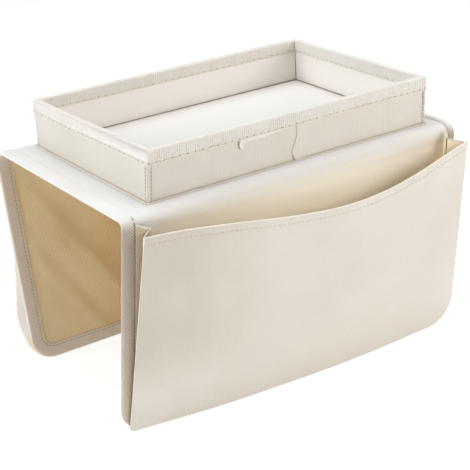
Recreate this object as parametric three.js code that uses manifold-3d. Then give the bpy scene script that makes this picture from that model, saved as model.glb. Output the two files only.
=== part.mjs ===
// Armrest organizer tray: a cloth saddle hangs over a sofa arm, with a shallow stiffened tray sewn on top, a
// pleated pocket on each flap, and folded tape round every free edge.
// Millimetres. +X runs along the arm, +Y to the rear, +Z up. The origin is on the floor under the saddle.

import * as THREE from 'three';
import { mergeVertices } from 'three/addons/utils/BufferGeometryUtils.js';
import Module from 'manifold-3d';

const wasm = await Module();
wasm.setup();

// Saddle
const SADDLE_LENGTH = 316; // along X, over the edge tape
const SADDLE_WIDTH = 204; // along Y, over the two folds
const SADDLE_HEIGHT = 187; // floor to the face of the top panel
const FOLD_RADIUS = 13; // of the cloth's outer face where it turns down
const TOP_BOARD = 2; // thickness of the stiffener in the top panel
const BOARD_INSET = 2; // from the stiffener to the fold, or to where the lining rises to the edge tape
const LINING_RISE_RUN = 4; // length over which the lining rises to the outer cloth, inside the edge tape

// Lean of each flap towards the arm, in degrees, as seen from outside it
const FRONT_LEAN = { left: 9.2, middle: 4.6, right: 3.6 };
const REAR_LEAN = { left: 7.6, middle: 8, right: 8.4 };
const FLAP_CORNER = 20; // radius of the flap's lower corners
const FLAP_RISE = 1; // the flap's tape clears the floor, which the pocket's turned edge meets

// Cloth and tape
const CLOTH = 0.6;
const TAPE = 0.6;
const GAP = 0.3; // left between layers that lie on each other
const EDGE_TAPE_REACH = 12; // how far the edge tape reaches in from the edge, on each face

// Tray, sewn on inside the edge tape and between the folds
const TRAY_END_LEFT = 19; // from the edge tape to the tray's wall
const TRAY_END_RIGHT = 7;
const TRAY_SIDE = 3; // from each fold to the tray's wall
const TRAY_HEIGHT = 39.5; // from the top panel to the top of the rim tape
const TRAY_CORNER = 2;
const WALL_BOARD = 2;
const RIM_TAPE_REACH = 8.5;
const BAND_LAP = 12; // the wall band's overlap at the middle of the front wall
const TAPE_TAIL = 52; // the rim tape's loose tail, left of the band's lap
const TAPE_TAIL_DROP = 4; // how far the end of the tail hangs below the rim tape

// Loose floor panel of the tray
const FLOOR_CLEARANCE = 1; // to the rim tape, past which the panel lifts out
const FLOOR_BOARD = 1.4;
const FLOOR_CORNER = 3;

// Pockets, as seen from outside the flap
const POCKET_CLOTH = 0.8;
const POCKET_IN_LEFT = 9.5; // from the flap's left edge to the panel's, at the mouth
const POCKET_IN_RIGHT = 1.5;
const FLARE_LEFT = 4; // how much further out the panel's left edge lies at its bottom
const FLARE_RIGHT = 5.5;
const POCKET_RISE = 4; // how far the mouth's ends rise past the lower end of the fold
const MOUTH_SAG = 20;
const SAG_PLACE = 0.61; // where the mouth hangs lowest, as a share of its width from the left
const SAG_POWER = 1.2; // above 1 the mouth leaves its ends more gently
const STAND_LEFT = 9.6; // how far the mouth's left end stands off the flap
const STAND_RIGHT = 16.5;
const MOUTH_BULGE = 8; // how far the mouth's middle stands out past its ends
const BELLY_LEFT = 0.4; // slack of the panel over its gusset and tape, just above the bottom seam
const BELLY_RIGHT = 2.6;
const SEAM_RETURN = 6; // height over which the panel turns in to its bottom seam
const POCKET_HEM = 8;
const POCKET_CORNER_LEFT = 5;
const POCKET_CORNER_RIGHT = 19;
const PRESS_IN = 2.5; // degrees by which the mouth can be pressed in about the bottom seam
const FOLD_DEPTH = 1.4; // of the slack folds that cross the panel
const FOLDS_ACROSS = 1.6; // folds met along the panel's width
const FOLDS_DOWN = 0.7; // folds met from its mouth to its seam
const GUSSET_DEPTH = 8; // from the edge tape to the crease of the pleat
const GUSSET_RISE = 5; // of the gusset's sewn edge past the pocket's corner

// Facets
const CORNER_STEPS = 5;
const BOTTOM_STEPS = 16;
const FOLD_STEPS = 7;
const FLAP_ROWS = 4;
const POCKET_COLUMNS = 26;
const POCKET_ROWS = 8;
const RETURN_ROWS = 3;
const GUSSET_STEPS = 7;

const FOLD_Y = SADDLE_WIDTH / 2 - FOLD_RADIUS; // distance of each fold's axis from the middle
const FOLD_Z = SADDLE_HEIGHT - FOLD_RADIUS;
const TAPE_BUILD = GAP + TAPE; // what the tape adds to a face or an edge
const CLOTH_HALF = SADDLE_LENGTH / 2 - TAPE_BUILD; // the cloth's own half length
const TOP_STACK = 2 * CLOTH + 2 * GAP + TOP_BOARD;
const FLAP_STACK = 2 * CLOTH + GAP;
const WALL_STACK = 2 * CLOTH + 2 * GAP + WALL_BOARD;
const TAPE_INNER_X = CLOTH_HALF + TAPE_BUILD - EDGE_TAPE_REACH; // the edge tape's inner edge
const TRAY_LENGTH = 2 * TAPE_INNER_X - TRAY_END_LEFT - TRAY_END_RIGHT;
const TRAY_WIDTH = 2 * (FOLD_Y - TRAY_SIDE);
const TRAY_SHIFT = (TRAY_END_LEFT - TRAY_END_RIGHT) / 2;
const WALL_FOOT = SADDLE_HEIGHT + GAP;
const RIM_TOP = SADDLE_HEIGHT + TRAY_HEIGHT;
const WALL_TOP = RIM_TOP - TAPE_BUILD;
const FLAP_ROUND = Math.max(FLAP_CORNER, EDGE_TAPE_REACH); // a tighter corner would crease the tape
const POCKET_LEFT = SADDLE_LENGTH / 2 - POCKET_IN_LEFT; // from the flap's middle to the left end of the mouth
const POCKET_RIGHT = SADDLE_LENGTH / 2 - POCKET_IN_RIGHT;
const SEAM_STAND = TAPE_BUILD + GAP; // inner face of the pocket at its bottom seam
const BELLY_STAND = SEAM_STAND + CLOTH + 2 * GAP; // inner face where the gusset lies between it and the tape

const FINISH = {
  cloth: { color: 0xe6dfd3, roughness: 0.78 },
  lining: { color: 0xc2a878, roughness: 0.7 },
  edgeTape: { color: 0xb9aea0, roughness: 0.85 },
  rimTape: { color: 0xddd5c6, roughness: 0.85 },
  floorCloth: { color: 0xefece5, roughness: 0.8 },
  board: { color: 0x9b948a, roughness: 0.6 },
};

// Joins and cuts

function toSolid(geometry) {
  const bare = geometry.clone();
  bare.deleteAttribute('normal');
  bare.deleteAttribute('uv');
  const merged = mergeVertices(bare, 1e-4);
  const mesh = new wasm.Mesh({
    numProp: 3,
    vertProperties: Float32Array.from(merged.attributes.position.array),
    triVerts: Uint32Array.from(merged.index.array),
  });
  return new wasm.Manifold(mesh);
}

function fromSolid(solid) {
  const mesh = solid.getMesh();
  const geometry = new THREE.BufferGeometry();
  geometry.setAttribute('position', new THREE.BufferAttribute(mesh.vertProperties, 3));
  geometry.setIndex(new THREE.BufferAttribute(mesh.triVerts, 1));
  geometry.computeVertexNormals();
  return geometry;
}

// A closed mesh, turned so that its faces point out
function closedGeometry(points, triangles) {
  const cross = new THREE.Vector3();
  let volume = 0;
  for (const [a, b, c] of triangles) {
    volume += points[a].dot(cross.crossVectors(points[b], points[c]));
  }
  const outward = triangles.map(([a, b, c]) => (volume > 0 ? [a, b, c] : [a, c, b]));
  const geometry = new THREE.BufferGeometry().setFromPoints(points);
  geometry.setIndex(outward.flat());
  geometry.computeVertexNormals();
  return geometry;
}

// A sheet of cloth: pointAt(column, row, face) on its outer face (0) and inner face (1), closed round the rim
function sheet(columns, rows, pointAt) {
  const points = [];
  for (const face of [0, 1]) {
    for (let i = 0; i < columns; i += 1) {
      for (let j = 0; j < rows; j += 1) {
        points.push(pointAt(i, j, face));
      }
    }
  }
  const at = (i, j, face) => (face * columns + i) * rows + j;
  const triangles = [];
  const quad = (a, b, c, d) => triangles.push([a, b, c], [a, c, d]);
  for (let i = 0; i + 1 < columns; i += 1) {
    for (let j = 0; j + 1 < rows; j += 1) {
      quad(at(i, j, 0), at(i + 1, j, 0), at(i + 1, j + 1, 0), at(i, j + 1, 0));
      quad(at(i, j, 1), at(i, j + 1, 1), at(i + 1, j + 1, 1), at(i + 1, j, 1));
    }
  }
  const rim = [];
  for (let i = 0; i < columns; i += 1) {
    rim.push([i, 0]);
  }
  for (let j = 1; j < rows; j += 1) {
    rim.push([columns - 1, j]);
  }
  for (let i = columns - 2; i >= 0; i -= 1) {
    rim.push([i, rows - 1]);
  }
  for (let j = rows - 2; j > 0; j -= 1) {
    rim.push([0, j]);
  }
  rim.forEach(([i, j], k) => {
    const [m, n] = rim[(k + 1) % rim.length];
    quad(at(i, j, 0), at(i, j, 1), at(m, n, 1), at(m, n, 0));
  });
  return closedGeometry(points, triangles);
}

// A folded strip: a closed profile carried through a row of stations, capped at both ends
function strip(stations, profile, pointAt) {
  const points = stations.flatMap((station) => profile.map((corner, k) => pointAt(station, corner, k)));
  const size = profile.length;
  const triangles = [];
  for (let s = 0; s + 1 < stations.length; s += 1) {
    for (let k = 0; k < size; k += 1) {
      const next = (k + 1) % size;
      const [a, b] = [s * size + k, s * size + next];
      const [c, d] = [a + size, b + size];
      triangles.push([a, b, d], [a, d, c]);
    }
  }
  const last = (stations.length - 1) * size;
  const clockwise = THREE.ShapeUtils.isClockWise(profile);
  for (const [a, p, q] of THREE.ShapeUtils.triangulateShape(profile, [])) {
    const [b, c] = clockwise ? [q, p] : [p, q];
    triangles.push([a, c, b], [last + a, last + b, last + c]);
  }
  return closedGeometry(points, triangles);
}

function slab(size, centre) {
  return new THREE.BoxGeometry(size.x, size.y, size.z).translate(centre.x, centre.y, centre.z);
}

// Section of a tape folded round an edge: x runs in from the cloth's edge, y out from its outer face
function tapeSection(reach, stack) {
  const inner = reach - TAPE_BUILD;
  return [
    [-TAPE_BUILD, TAPE_BUILD],
    [-TAPE_BUILD, -stack - TAPE_BUILD],
    [inner, -stack - TAPE_BUILD],
    [inner, -stack - GAP],
    [-GAP, -stack - GAP],
    [-GAP, GAP],
    [inner, GAP],
    [inner, TAPE_BUILD],
  ].map(([x, y]) => new THREE.Vector2(x, y));
}

const group = new THREE.Group();

function addPiece(name, finish, geometry, parent = group) {
  const material = new THREE.MeshStandardMaterial({ ...FINISH[finish], metalness: 0, name });
  const mesh = new THREE.Mesh(geometry, material);
  mesh.name = name;
  parent.add(mesh);
}

// Top panel: outer cloth, stiffener and lining between the two folds, with tape round both ends. The stiffener
// stops short of the tape, and past it the lining rises to the outer cloth, so that the tape binds cloth alone

function topSlab(halfLength, halfWidth, thickness, depth) {
  const size = new THREE.Vector3(2 * halfLength, 2 * halfWidth, thickness);
  return slab(size, new THREE.Vector3(0, 0, SADDLE_HEIGHT - depth - thickness / 2));
}

function addTopPanel() {
  const reach = FOLD_Y - GAP;
  const riseEnd = TAPE_INNER_X - GAP;
  const riseStart = riseEnd - LINING_RISE_RUN;
  const board = topSlab(riseStart - BOARD_INSET, reach - BOARD_INSET, TOP_BOARD, CLOTH + GAP);
  addPiece('top_outer_cloth', 'cloth', topSlab(CLOTH_HALF, reach, CLOTH, 0));
  addPiece('top_board', 'board', board);

  const rightHalf = [
    { x: riseStart, depth: TOP_STACK },
    { x: riseEnd, depth: FLAP_STACK },
    { x: CLOTH_HALF, depth: FLAP_STACK },
  ];
  const leftHalf = rightHalf.map((place) => ({ ...place, x: -place.x })).reverse();
  const columns = [...leftHalf, ...rightHalf];
  const lining = sheet(columns.length, 2, (i, j, face) => {
    const bottom = SADDLE_HEIGHT - columns[i].depth;
    return new THREE.Vector3(columns[i].x, j === 0 ? -reach : reach, face === 0 ? bottom + CLOTH : bottom);
  });
  addPiece('top_lining', 'lining', lining);

  for (const [side, name] of [[-1, 'left'], [1, 'right']]) {
    const pointAt = (y, corner) => {
      return new THREE.Vector3(side * (CLOTH_HALF - corner.x), y, SADDLE_HEIGHT + corner.y);
    };
    const tape = strip([-reach, reach], tapeSection(EDGE_TAPE_REACH, FLAP_STACK), pointAt);
    addPiece(`top_edge_tape_${name}`, 'edgeTape', tape);
  }
}

// Tray: cloth band, four wall stiffeners and lining, bound along the rim

function roundedRectangle(inset, corner = TRAY_CORNER - inset) {
  const [x, y] = [TRAY_LENGTH / 2 - inset, TRAY_WIDTH / 2 - inset];
  const radius = Math.max(corner, CLOTH);
  const shape = new THREE.Shape();
  shape.absarc(x - radius, y - radius, radius, 0, Math.PI / 2);
  shape.absarc(radius - x, y - radius, radius, Math.PI / 2, Math.PI);
  shape.absarc(radius - x, radius - y, radius, Math.PI, 1.5 * Math.PI);
  shape.absarc(x - radius, radius - y, radius, 1.5 * Math.PI, 2 * Math.PI);
  shape.closePath();
  return shape;
}

function trayRing(outerInset, innerInset, foot, top) {
  const shape = roundedRectangle(outerInset);
  shape.holes.push(roundedRectangle(innerInset));
  const settings = { depth: top - foot, bevelEnabled: false, curveSegments: CORNER_STEPS };
  return new THREE.ExtrudeGeometry(shape, settings).translate(TRAY_SHIFT, 0, foot);
}

function addTrayWalls() {
  const front = -TRAY_WIDTH / 2;
  const lap = slab(
    new THREE.Vector3(BAND_LAP, 2 * CLOTH, WALL_TOP - RIM_TAPE_REACH - WALL_FOOT),
    new THREE.Vector3(TRAY_SHIFT + BAND_LAP / 2, front, (WALL_TOP - RIM_TAPE_REACH + WALL_FOOT) / 2),
  );
  const band = toSolid(trayRing(0, CLOTH, WALL_FOOT, WALL_TOP)).add(toSolid(lap));
  addPiece('tray_outer_band', 'cloth', fromSolid(band));

  const boardDepth = CLOTH + GAP;
  const boardHeight = WALL_TOP - WALL_FOOT;
  const boardZ = (WALL_TOP + WALL_FOOT) / 2;
  const middle = boardDepth + WALL_BOARD / 2;
  const along = TRAY_LENGTH - 2 * Math.max(TRAY_CORNER, WALL_STACK);
  const across = TRAY_WIDTH - 2 * Math.max(TRAY_CORNER, WALL_STACK);
  for (const [side, name] of [[-1, 'front'], [1, 'rear']]) {
    const centre = new THREE.Vector3(TRAY_SHIFT, side * (TRAY_WIDTH / 2 - middle), boardZ);
    addPiece(`tray_board_${name}`, 'board', slab(new THREE.Vector3(along, WALL_BOARD, boardHeight), centre));
  }
  for (const [side, name] of [[-1, 'left'], [1, 'right']]) {
    const centre = new THREE.Vector3(TRAY_SHIFT + side * (TRAY_LENGTH / 2 - middle), 0, boardZ);
    addPiece(`tray_board_${name}`, 'board', slab(new THREE.Vector3(WALL_BOARD, across, boardHeight), centre));
  }

  const lining = trayRing(WALL_STACK - CLOTH, WALL_STACK, WALL_FOOT, WALL_TOP);
  addPiece('tray_wall_lining', 'cloth', lining);
}

function addRimTape() {
  const foot = RIM_TOP - RIM_TAPE_REACH;
  const shell = toSolid(trayRing(-TAPE_BUILD, WALL_STACK + TAPE_BUILD, foot, RIM_TOP));
  const channel = toSolid(trayRing(-GAP, WALL_STACK + GAP, foot - RIM_TAPE_REACH, RIM_TOP - TAPE));
  const tilt = Math.atan2(TAPE_TAIL_DROP, TAPE_TAIL);
  const tail = new THREE.BoxGeometry(TAPE_TAIL, 2 * TAPE, RIM_TAPE_REACH - TAPE);
  tail.translate(-TAPE_TAIL / 2, 0, -(RIM_TAPE_REACH - TAPE) / 2);
  tail.rotateY(-tilt);
  tail.translate(TRAY_SHIFT, -TRAY_WIDTH / 2 - TAPE_BUILD, RIM_TOP - TAPE);
  const band = toSolid(trayRing(-GAP, CLOTH, foot - RIM_TAPE_REACH, RIM_TOP));
  addPiece('tray_rim_tape', 'rimTape', fromSolid(shell.subtract(channel).add(toSolid(tail).subtract(band))));
}

// Loose floor panel: a board in a cloth cover that is open underneath

function addTrayFloor() {
  const inset = WALL_STACK + TAPE_BUILD + FLOOR_CLEARANCE;
  const plate = (extra, height) => {
    const shape = roundedRectangle(inset + extra, FLOOR_CORNER - extra);
    const settings = { depth: height, bevelEnabled: false, curveSegments: CORNER_STEPS };
    return new THREE.ExtrudeGeometry(shape, settings).translate(TRAY_SHIFT, 0, WALL_FOOT);
  };
  const cover = toSolid(plate(0, FLOOR_BOARD + GAP + CLOTH));
  const hollow = toSolid(plate(CLOTH, FLOOR_BOARD + GAP));
  addPiece('tray_floor_cover', 'floorCloth', fromSolid(cover.subtract(hollow)));
  addPiece('tray_floor_board', 'board', plate(CLOTH + GAP, FLOOR_BOARD));
}

// Places on a flap: x along it, v down from the end of its fold, w out from its outer face

function leanAt(lean, x) {
  const s = x / CLOTH_HALF;
  const turn = (lean.right - lean.left) / 2;
  const bow = (lean.right + lean.left) / 2 - lean.middle;
  return THREE.MathUtils.degToRad(lean.middle + turn * s + bow * s * s);
}

function flapPoint(lean, x, v, w) {
  const angle = leanAt(lean, x);
  const y = -FOLD_Y - (FOLD_RADIUS + w) * Math.cos(angle) + v * Math.sin(angle);
  const z = FOLD_Z - (FOLD_RADIUS + w) * Math.sin(angle) - v * Math.cos(angle);
  return new THREE.Vector3(x, y, z);
}

// How far down the flap a point that stands w off it meets the floor
function runToFloor(lean, x, w) {
  const angle = leanAt(lean, x);
  return (FOLD_Z - (FOLD_RADIUS + w) * Math.sin(angle)) / Math.cos(angle);
}

// How much a rounded corner shortens a panel, near its side edge
function cornerCut(fromEdge, radius) {
  const past = Math.max(radius - fromEdge, 0);
  return radius - Math.sqrt(Math.max(radius * radius - past * past, 0));
}

// The flap's lower outline, from its left edge to its right edge, with the way in from each point
function flapOutline(lean) {
  const clothEnd = (x) => runToFloor(lean, x, TAPE_BUILD) - FLAP_RISE - TAPE_BUILD;
  const corner = (side, angle) => {
    const x = side * (CLOTH_HALF - FLAP_ROUND + FLAP_ROUND * Math.cos(angle));
    const v = clothEnd(x) - FLAP_ROUND + FLAP_ROUND * Math.sin(angle);
    return { x, v, inX: -side * Math.cos(angle), inV: -Math.sin(angle) };
  };
  const steps = Array.from({ length: CORNER_STEPS + 1 }, (_, k) => (k / CORNER_STEPS) * (Math.PI / 2));
  const left = steps.map((angle) => corner(-1, angle));
  const right = steps.map((angle) => corner(1, angle)).reverse();
  const reach = CLOTH_HALF - FLAP_ROUND;
  const bottom = Array.from({ length: BOTTOM_STEPS - 1 }, (_, k) => {
    const x = THREE.MathUtils.lerp(-reach, reach, (k + 1) / BOTTOM_STEPS);
    return { x, v: clothEnd(x), inX: 0, inV: -1 };
  });
  return [...left, ...bottom, ...right];
}

// Fold between the top panel and a flap, with tape round both ends

function foldPoint(lean, x, share, w) {
  const turn = share * (Math.PI / 2 + leanAt(lean, x));
  const radius = FOLD_RADIUS + w;
  return new THREE.Vector3(x, -FOLD_Y - radius * Math.sin(turn), FOLD_Z + radius * Math.cos(turn));
}

function addFold(side, lean, ends, parent) {
  const columns = flapOutline(lean).map((place) => place.x);
  const cloth = sheet(columns.length, FOLD_STEPS + 1, (i, j, face) => {
    return foldPoint(lean, columns[i], j / FOLD_STEPS, -face * FLAP_STACK);
  });
  addPiece(`${side}_fold_cloth`, 'cloth', cloth, parent);
  const shares = Array.from({ length: FOLD_STEPS + 1 }, (_, k) => k / FOLD_STEPS);
  for (const [sign, name] of ends) {
    const pointAt = (share, corner) => foldPoint(lean, sign * (CLOTH_HALF - corner.x), share, corner.y);
    const tape = strip(shares, tapeSection(EDGE_TAPE_REACH, FLAP_STACK), pointAt);
    addPiece(`${side}_fold_tape_${name}`, 'edgeTape', tape, parent);
  }
}

// Flap: outer cloth and lining, with tape down both sides and along the bottom

function addFlap(side, lean, parent) {
  const outline = flapOutline(lean);
  const rowAt = (place, j) => THREE.MathUtils.lerp(GAP, place.v, j / FLAP_ROWS);
  const layer = (outer, inner) => sheet(outline.length, FLAP_ROWS + 1, (i, j, face) => {
    return flapPoint(lean, outline[i].x, rowAt(outline[i], j), face === 0 ? outer : inner);
  });
  addPiece(`${side}_flap_cloth`, 'cloth', layer(0, -CLOTH), parent);
  addPiece(`${side}_flap_lining`, 'lining', layer(-CLOTH - GAP, -FLAP_STACK), parent);
  const sideRun = (place) => {
    return Array.from({ length: FLAP_ROWS }, (_, j) => ({ ...place, v: rowAt(place, j) }));
  };
  const stations = [...sideRun(outline[0]), ...outline, ...sideRun(outline.at(-1)).reverse()];
  const tape = strip(stations, tapeSection(EDGE_TAPE_REACH, FLAP_STACK), (place, corner) => {
    const x = place.x + place.inX * corner.x;
    return flapPoint(lean, x, place.v + place.inV * corner.x, corner.y);
  });
  addPiece(`${side}_flap_tape`, 'edgeTape', tape, parent);
}

// Pocket panel: its points at share s of its width and share q of the way from its mouth to where it turns in
// to the seam

function panelX(s, q) {
  return THREE.MathUtils.lerp(-POCKET_LEFT - FLARE_LEFT * q, POCKET_RIGHT + FLARE_RIGHT * q, s);
}

function mouthAt(s) {
  const skew = Math.log(0.5) / Math.log(SAG_PLACE);
  return MOUTH_SAG * Math.sin(Math.PI * s ** skew) ** SAG_POWER - POCKET_RISE;
}

// How far a rounded corner lifts the panel's bottom
function panelLift(s) {
  const x = panelX(s, 1);
  return cornerCut(x - panelX(0, 1), POCKET_CORNER_LEFT) + cornerCut(panelX(1, 1) - x, POCKET_CORNER_RIGHT);
}

function panelBottom(lean, s) {
  return runToFloor(lean, panelX(s, 1), SEAM_STAND + POCKET_CLOTH) - panelLift(s);
}

function panelShare(lean, s, v) {
  const top = mouthAt(s);
  const low = panelBottom(lean, s) - SEAM_RETURN;
  return Math.min((v - top) / (low - top), 1);
}

function standOff(lean, s, v) {
  const mouth = THREE.MathUtils.lerp(STAND_LEFT, STAND_RIGHT, s) + MOUTH_BULGE * Math.sin(Math.PI * s);
  const belly = BELLY_STAND + THREE.MathUtils.lerp(BELLY_LEFT, BELLY_RIGHT, s);
  const seam = SEAM_STAND + panelLift(s) * Math.tan(THREE.MathUtils.degToRad(PRESS_IN));
  const low = panelBottom(lean, s) - SEAM_RETURN;
  const q = panelShare(lean, s, v);
  const slack = FOLD_DEPTH * Math.sin(Math.PI * s) * Math.sin(Math.PI * q);
  const folds = slack * Math.sin(2 * Math.PI * (FOLDS_ACROSS * s + FOLDS_DOWN * q));
  const body = belly + (mouth - belly) * (1 - q) + folds;
  const turn = Math.min(Math.max((v - low) / SEAM_RETURN, 0), 1);
  return seam + (body - seam) * Math.sqrt(1 - turn * turn);
}

// Rows of the panel from mouth to seam: the hem, the hanging body and the turn into the seam
function panelRows(lean, s) {
  const top = mouthAt(s);
  const bottom = panelBottom(lean, s);
  const hem = top + POCKET_HEM;
  const low = bottom - SEAM_RETURN;
  const rows = [top, hem];
  for (let k = 0; k <= POCKET_ROWS; k += 1) {
    rows.push(THREE.MathUtils.lerp(hem + POCKET_CLOTH, low, k / POCKET_ROWS));
  }
  for (let k = 1; k <= RETURN_ROWS; k += 1) {
    rows.push(low + SEAM_RETURN * Math.sin(((k / RETURN_ROWS) * Math.PI) / 2));
  }
  return rows;
}

const HEM_ROWS = 2; // rows of the panel whose cloth is doubled

function addPocket(side, lean, parent) {
  const rowCount = HEM_ROWS + POCKET_ROWS + 1 + RETURN_ROWS;
  const panel = sheet(POCKET_COLUMNS + 1, rowCount, (i, j, face) => {
    const s = 0.5 - 0.5 * Math.cos((Math.PI * i) / POCKET_COLUMNS);
    const v = panelRows(lean, s)[j];
    const doubled = j < HEM_ROWS ? POCKET_CLOTH : 0;
    const w = standOff(lean, s, v) + (face === 0 ? POCKET_CLOTH : -doubled);
    return flapPoint(lean, panelX(s, panelShare(lean, s, v)), v, w);
  });
  addPiece(`${side}_pocket_panel`, 'cloth', panel, parent);
}

// Pocket gusset: a pleat from the flap in to a crease and back out to the panel's side edge

function addGusset(side, lean, sign, name, parent) {
  const sewn = TAPE_INNER_X - GAP;
  const crease = sewn - GUSSET_DEPTH;
  const s = sign < 0 ? 0 : 1;
  const cornerTop = mouthAt(s) + POCKET_CLOTH;
  const sewnTop = cornerTop - GUSSET_RISE;
  const tapeFoot = runToFloor(lean, sign * sewn, TAPE_BUILD) - FLAP_RISE;
  const tapeTop = tapeFoot - TAPE_BUILD - FLAP_ROUND;
  const bottom = Math.min(tapeTop, panelBottom(lean, s) - SEAM_RETURN) - GAP;
  // The section at share t of the way down: each corner has its distance from the flap's middle, its share of
  // the way to the panel and its offset from there
  const sectionAt = (t) => {
    const v = THREE.MathUtils.lerp(cornerTop, bottom, t);
    const edge = Math.abs(panelX(s, panelShare(lean, s, v))) - POCKET_CLOTH;
    const hem = t === 0 ? POCKET_CLOTH : 0;
    const reach = standOff(lean, s, v) - hem - 2 * GAP;
    const corners = [
      [sewn, 0, 0],
      [crease, 0.5, -CLOTH / 2],
      [crease, 0.5, CLOTH / 2],
      [edge, 1, 0],
      [edge, 1, -CLOTH],
      [crease + 2 * CLOTH, 0.5, 0],
      [sewn, 0, CLOTH],
    ];
    return corners.map(([x, share, offset]) => ({ x, y: GAP + share * (reach - GAP) + offset, share }));
  };
  const stations = Array.from({ length: GUSSET_STEPS + 1 }, (_, k) => k / GUSSET_STEPS);
  const profile = sectionAt(0).map((corner) => new THREE.Vector2(corner.x, corner.y));
  const gusset = strip(stations, profile, (t, corner, k) => {
    const { x, y, share } = sectionAt(t)[k];
    const v = THREE.MathUtils.lerp(THREE.MathUtils.lerp(sewnTop, cornerTop, share), bottom, t);
    return flapPoint(lean, sign * x, v, y);
  });
  addPiece(`${side}_gusset_${name}`, 'cloth', gusset, parent);
}

// One side of the saddle, built as the front; the rear is the same turned about Z

function addSide(side, lean, ends) {
  const half = new THREE.Group();
  half.rotation.z = side === 'rear' ? Math.PI : 0;
  group.add(half);
  addFold(side, lean, ends, half);
  addFlap(side, lean, half);
  addPocket(side, lean, half);
  for (const [sign, name] of ends) {
    addGusset(side, lean, sign, name, half);
  }
}

addTopPanel();
addTrayWalls();
addRimTape();
addTrayFloor();
addSide('front', FRONT_LEAN, [[-1, 'left'], [1, 'right']]);
addSide('rear', REAR_LEAN, [[-1, 'right'], [1, 'left']]);

export default group;
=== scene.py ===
"""Looks of an armrest organizer tray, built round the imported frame.

Metres, +Z up, +X along the arm. A place on the saddle is given as x along the fold, u down the cloth from the
fold (negative on the top panel) and w out from the cloth's outer face, as seen from outside its side.
"""

import logging
import math
from collections.abc import Sequence
from dataclasses import dataclass
from enum import Enum

import bmesh
import bpy
import numpy as np
from mathutils import Matrix, Vector


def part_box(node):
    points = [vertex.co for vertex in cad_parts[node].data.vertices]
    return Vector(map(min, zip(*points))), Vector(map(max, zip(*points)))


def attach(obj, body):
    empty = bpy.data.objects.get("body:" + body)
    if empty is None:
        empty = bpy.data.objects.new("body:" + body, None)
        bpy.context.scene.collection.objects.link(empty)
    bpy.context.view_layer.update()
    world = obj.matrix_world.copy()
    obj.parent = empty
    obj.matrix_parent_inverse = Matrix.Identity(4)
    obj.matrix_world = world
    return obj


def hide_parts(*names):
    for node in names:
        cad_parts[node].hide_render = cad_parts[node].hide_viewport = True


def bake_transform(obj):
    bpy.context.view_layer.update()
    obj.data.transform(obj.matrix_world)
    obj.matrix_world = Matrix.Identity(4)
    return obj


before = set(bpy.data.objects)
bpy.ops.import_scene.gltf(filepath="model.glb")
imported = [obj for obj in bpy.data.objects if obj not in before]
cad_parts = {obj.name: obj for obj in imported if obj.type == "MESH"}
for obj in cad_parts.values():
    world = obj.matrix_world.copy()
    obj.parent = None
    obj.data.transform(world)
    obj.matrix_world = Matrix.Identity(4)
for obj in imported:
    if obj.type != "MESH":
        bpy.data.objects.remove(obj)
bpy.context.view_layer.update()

LOG = logging.getLogger("organizer")
MM = 0.001
UV_NAME = "cloth"
OUTWARD = "outward"
SHARP_ANGLE = math.radians(50)
AXIS_X, AXIS_Z = 0, 2
DIAGONAL = math.sqrt(0.5)
QUARTER_TURN = np.linspace(0, np.pi / 2, 9)
PLAN_CORNERS = [np.array([x, y], float) for x in (-1, 1) for y in (-1, 1)]

Array = np.ndarray
Number = Array | float
Colour = tuple[int, int, int]
Path = tuple[Array, Array, bool]
Piece = bpy.types.Object
Wardrobe = dict[str, bpy.types.Material]


class Side(Enum):
    """The two sides of the saddle. The rear is the front turned half round about Z."""

    FRONT = "front"
    REAR = "rear"

    @property
    def turn(self) -> Array:
        """Signs that carry a point of the front to this side."""
        return np.array([1.0, 1.0, 1.0]) if self is Side.FRONT else np.array([-1.0, -1.0, 1.0])

    @property
    def flap(self) -> str:
        """Name of this side's flap body."""
        return f"{self.value}_flap"

    @property
    def pocket(self) -> str:
        """Name of this side's pocket body."""
        return f"{self.value}_pocket"


class End(Enum):
    """The two ends of a side, as seen from outside it."""

    LEFT = -1
    RIGHT = 1

    @property
    def word(self) -> str:
        """The end's name in lower case."""
        return self.name.lower()

    @property
    def share(self) -> float:
        """Share of the pocket's width at this end."""
        return 0.0 if self is End.LEFT else 1.0


# Numbers and curves


def linear(colour: Colour) -> tuple[float, float, float, float]:
    """The linear colour, with an alpha of 1, of a display colour from 0 to 255.

    Args:
        colour: Red, green and blue.

    Returns:
        Linear red, green, blue and alpha.
    """
    shares = [channel / 255 for channel in colour]
    values = [share / 12.92 if share <= 0.04045 else ((share + 0.055) / 1.055) ** 2.4 for share in shares]
    return values[0], values[1], values[2], 1.0


def lerp(start: Number, end: Number, share: Number) -> Number:
    """Value at a share of the way from start to end."""
    return start + (end - start) * share


def smooth(value: Number, low: float, high: float) -> Array:
    """Rises from 0 at low to 1 at high with level ends."""
    share = np.clip((np.asarray(value, float) - low) / (high - low), 0, 1)
    return share * share * (3 - 2 * share)


def ridge(value: Number, centre: Number, width: float) -> Array:
    """A soft bump of height 1 at centre, as wide as width on each side."""
    return np.exp(-(((np.asarray(value, float) - centre) / width) ** 2))


def swing(turns: Number, start: float = 0.0) -> Array:
    """A sine of a number of whole turns, from a start in radians."""
    return np.sin(math.tau * turns + start)


def corner_cut(from_edge: Array, radius: float) -> Array:
    """How much a rounded corner shortens a panel at a distance from its side edge."""
    past = np.clip(radius - from_edge, 0, radius)
    return radius - np.sqrt(radius * radius - past * past)


def unit(vectors: Array) -> Array:
    """The vectors scaled to a length of 1."""
    return vectors / np.linalg.norm(vectors, axis=-1, keepdims=True)


def run_length(points: Array) -> Array:
    """Distance along a row of points, from 0 at its first."""
    steps = np.linalg.norm(np.diff(points, axis=0), axis=-1)
    return np.concatenate([[0.0], np.cumsum(steps)])


def grid(*parts: Number) -> Array:
    """Points from their coordinates, each a number or an array."""
    return np.stack(np.broadcast_arrays(*parts), -1)


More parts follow.
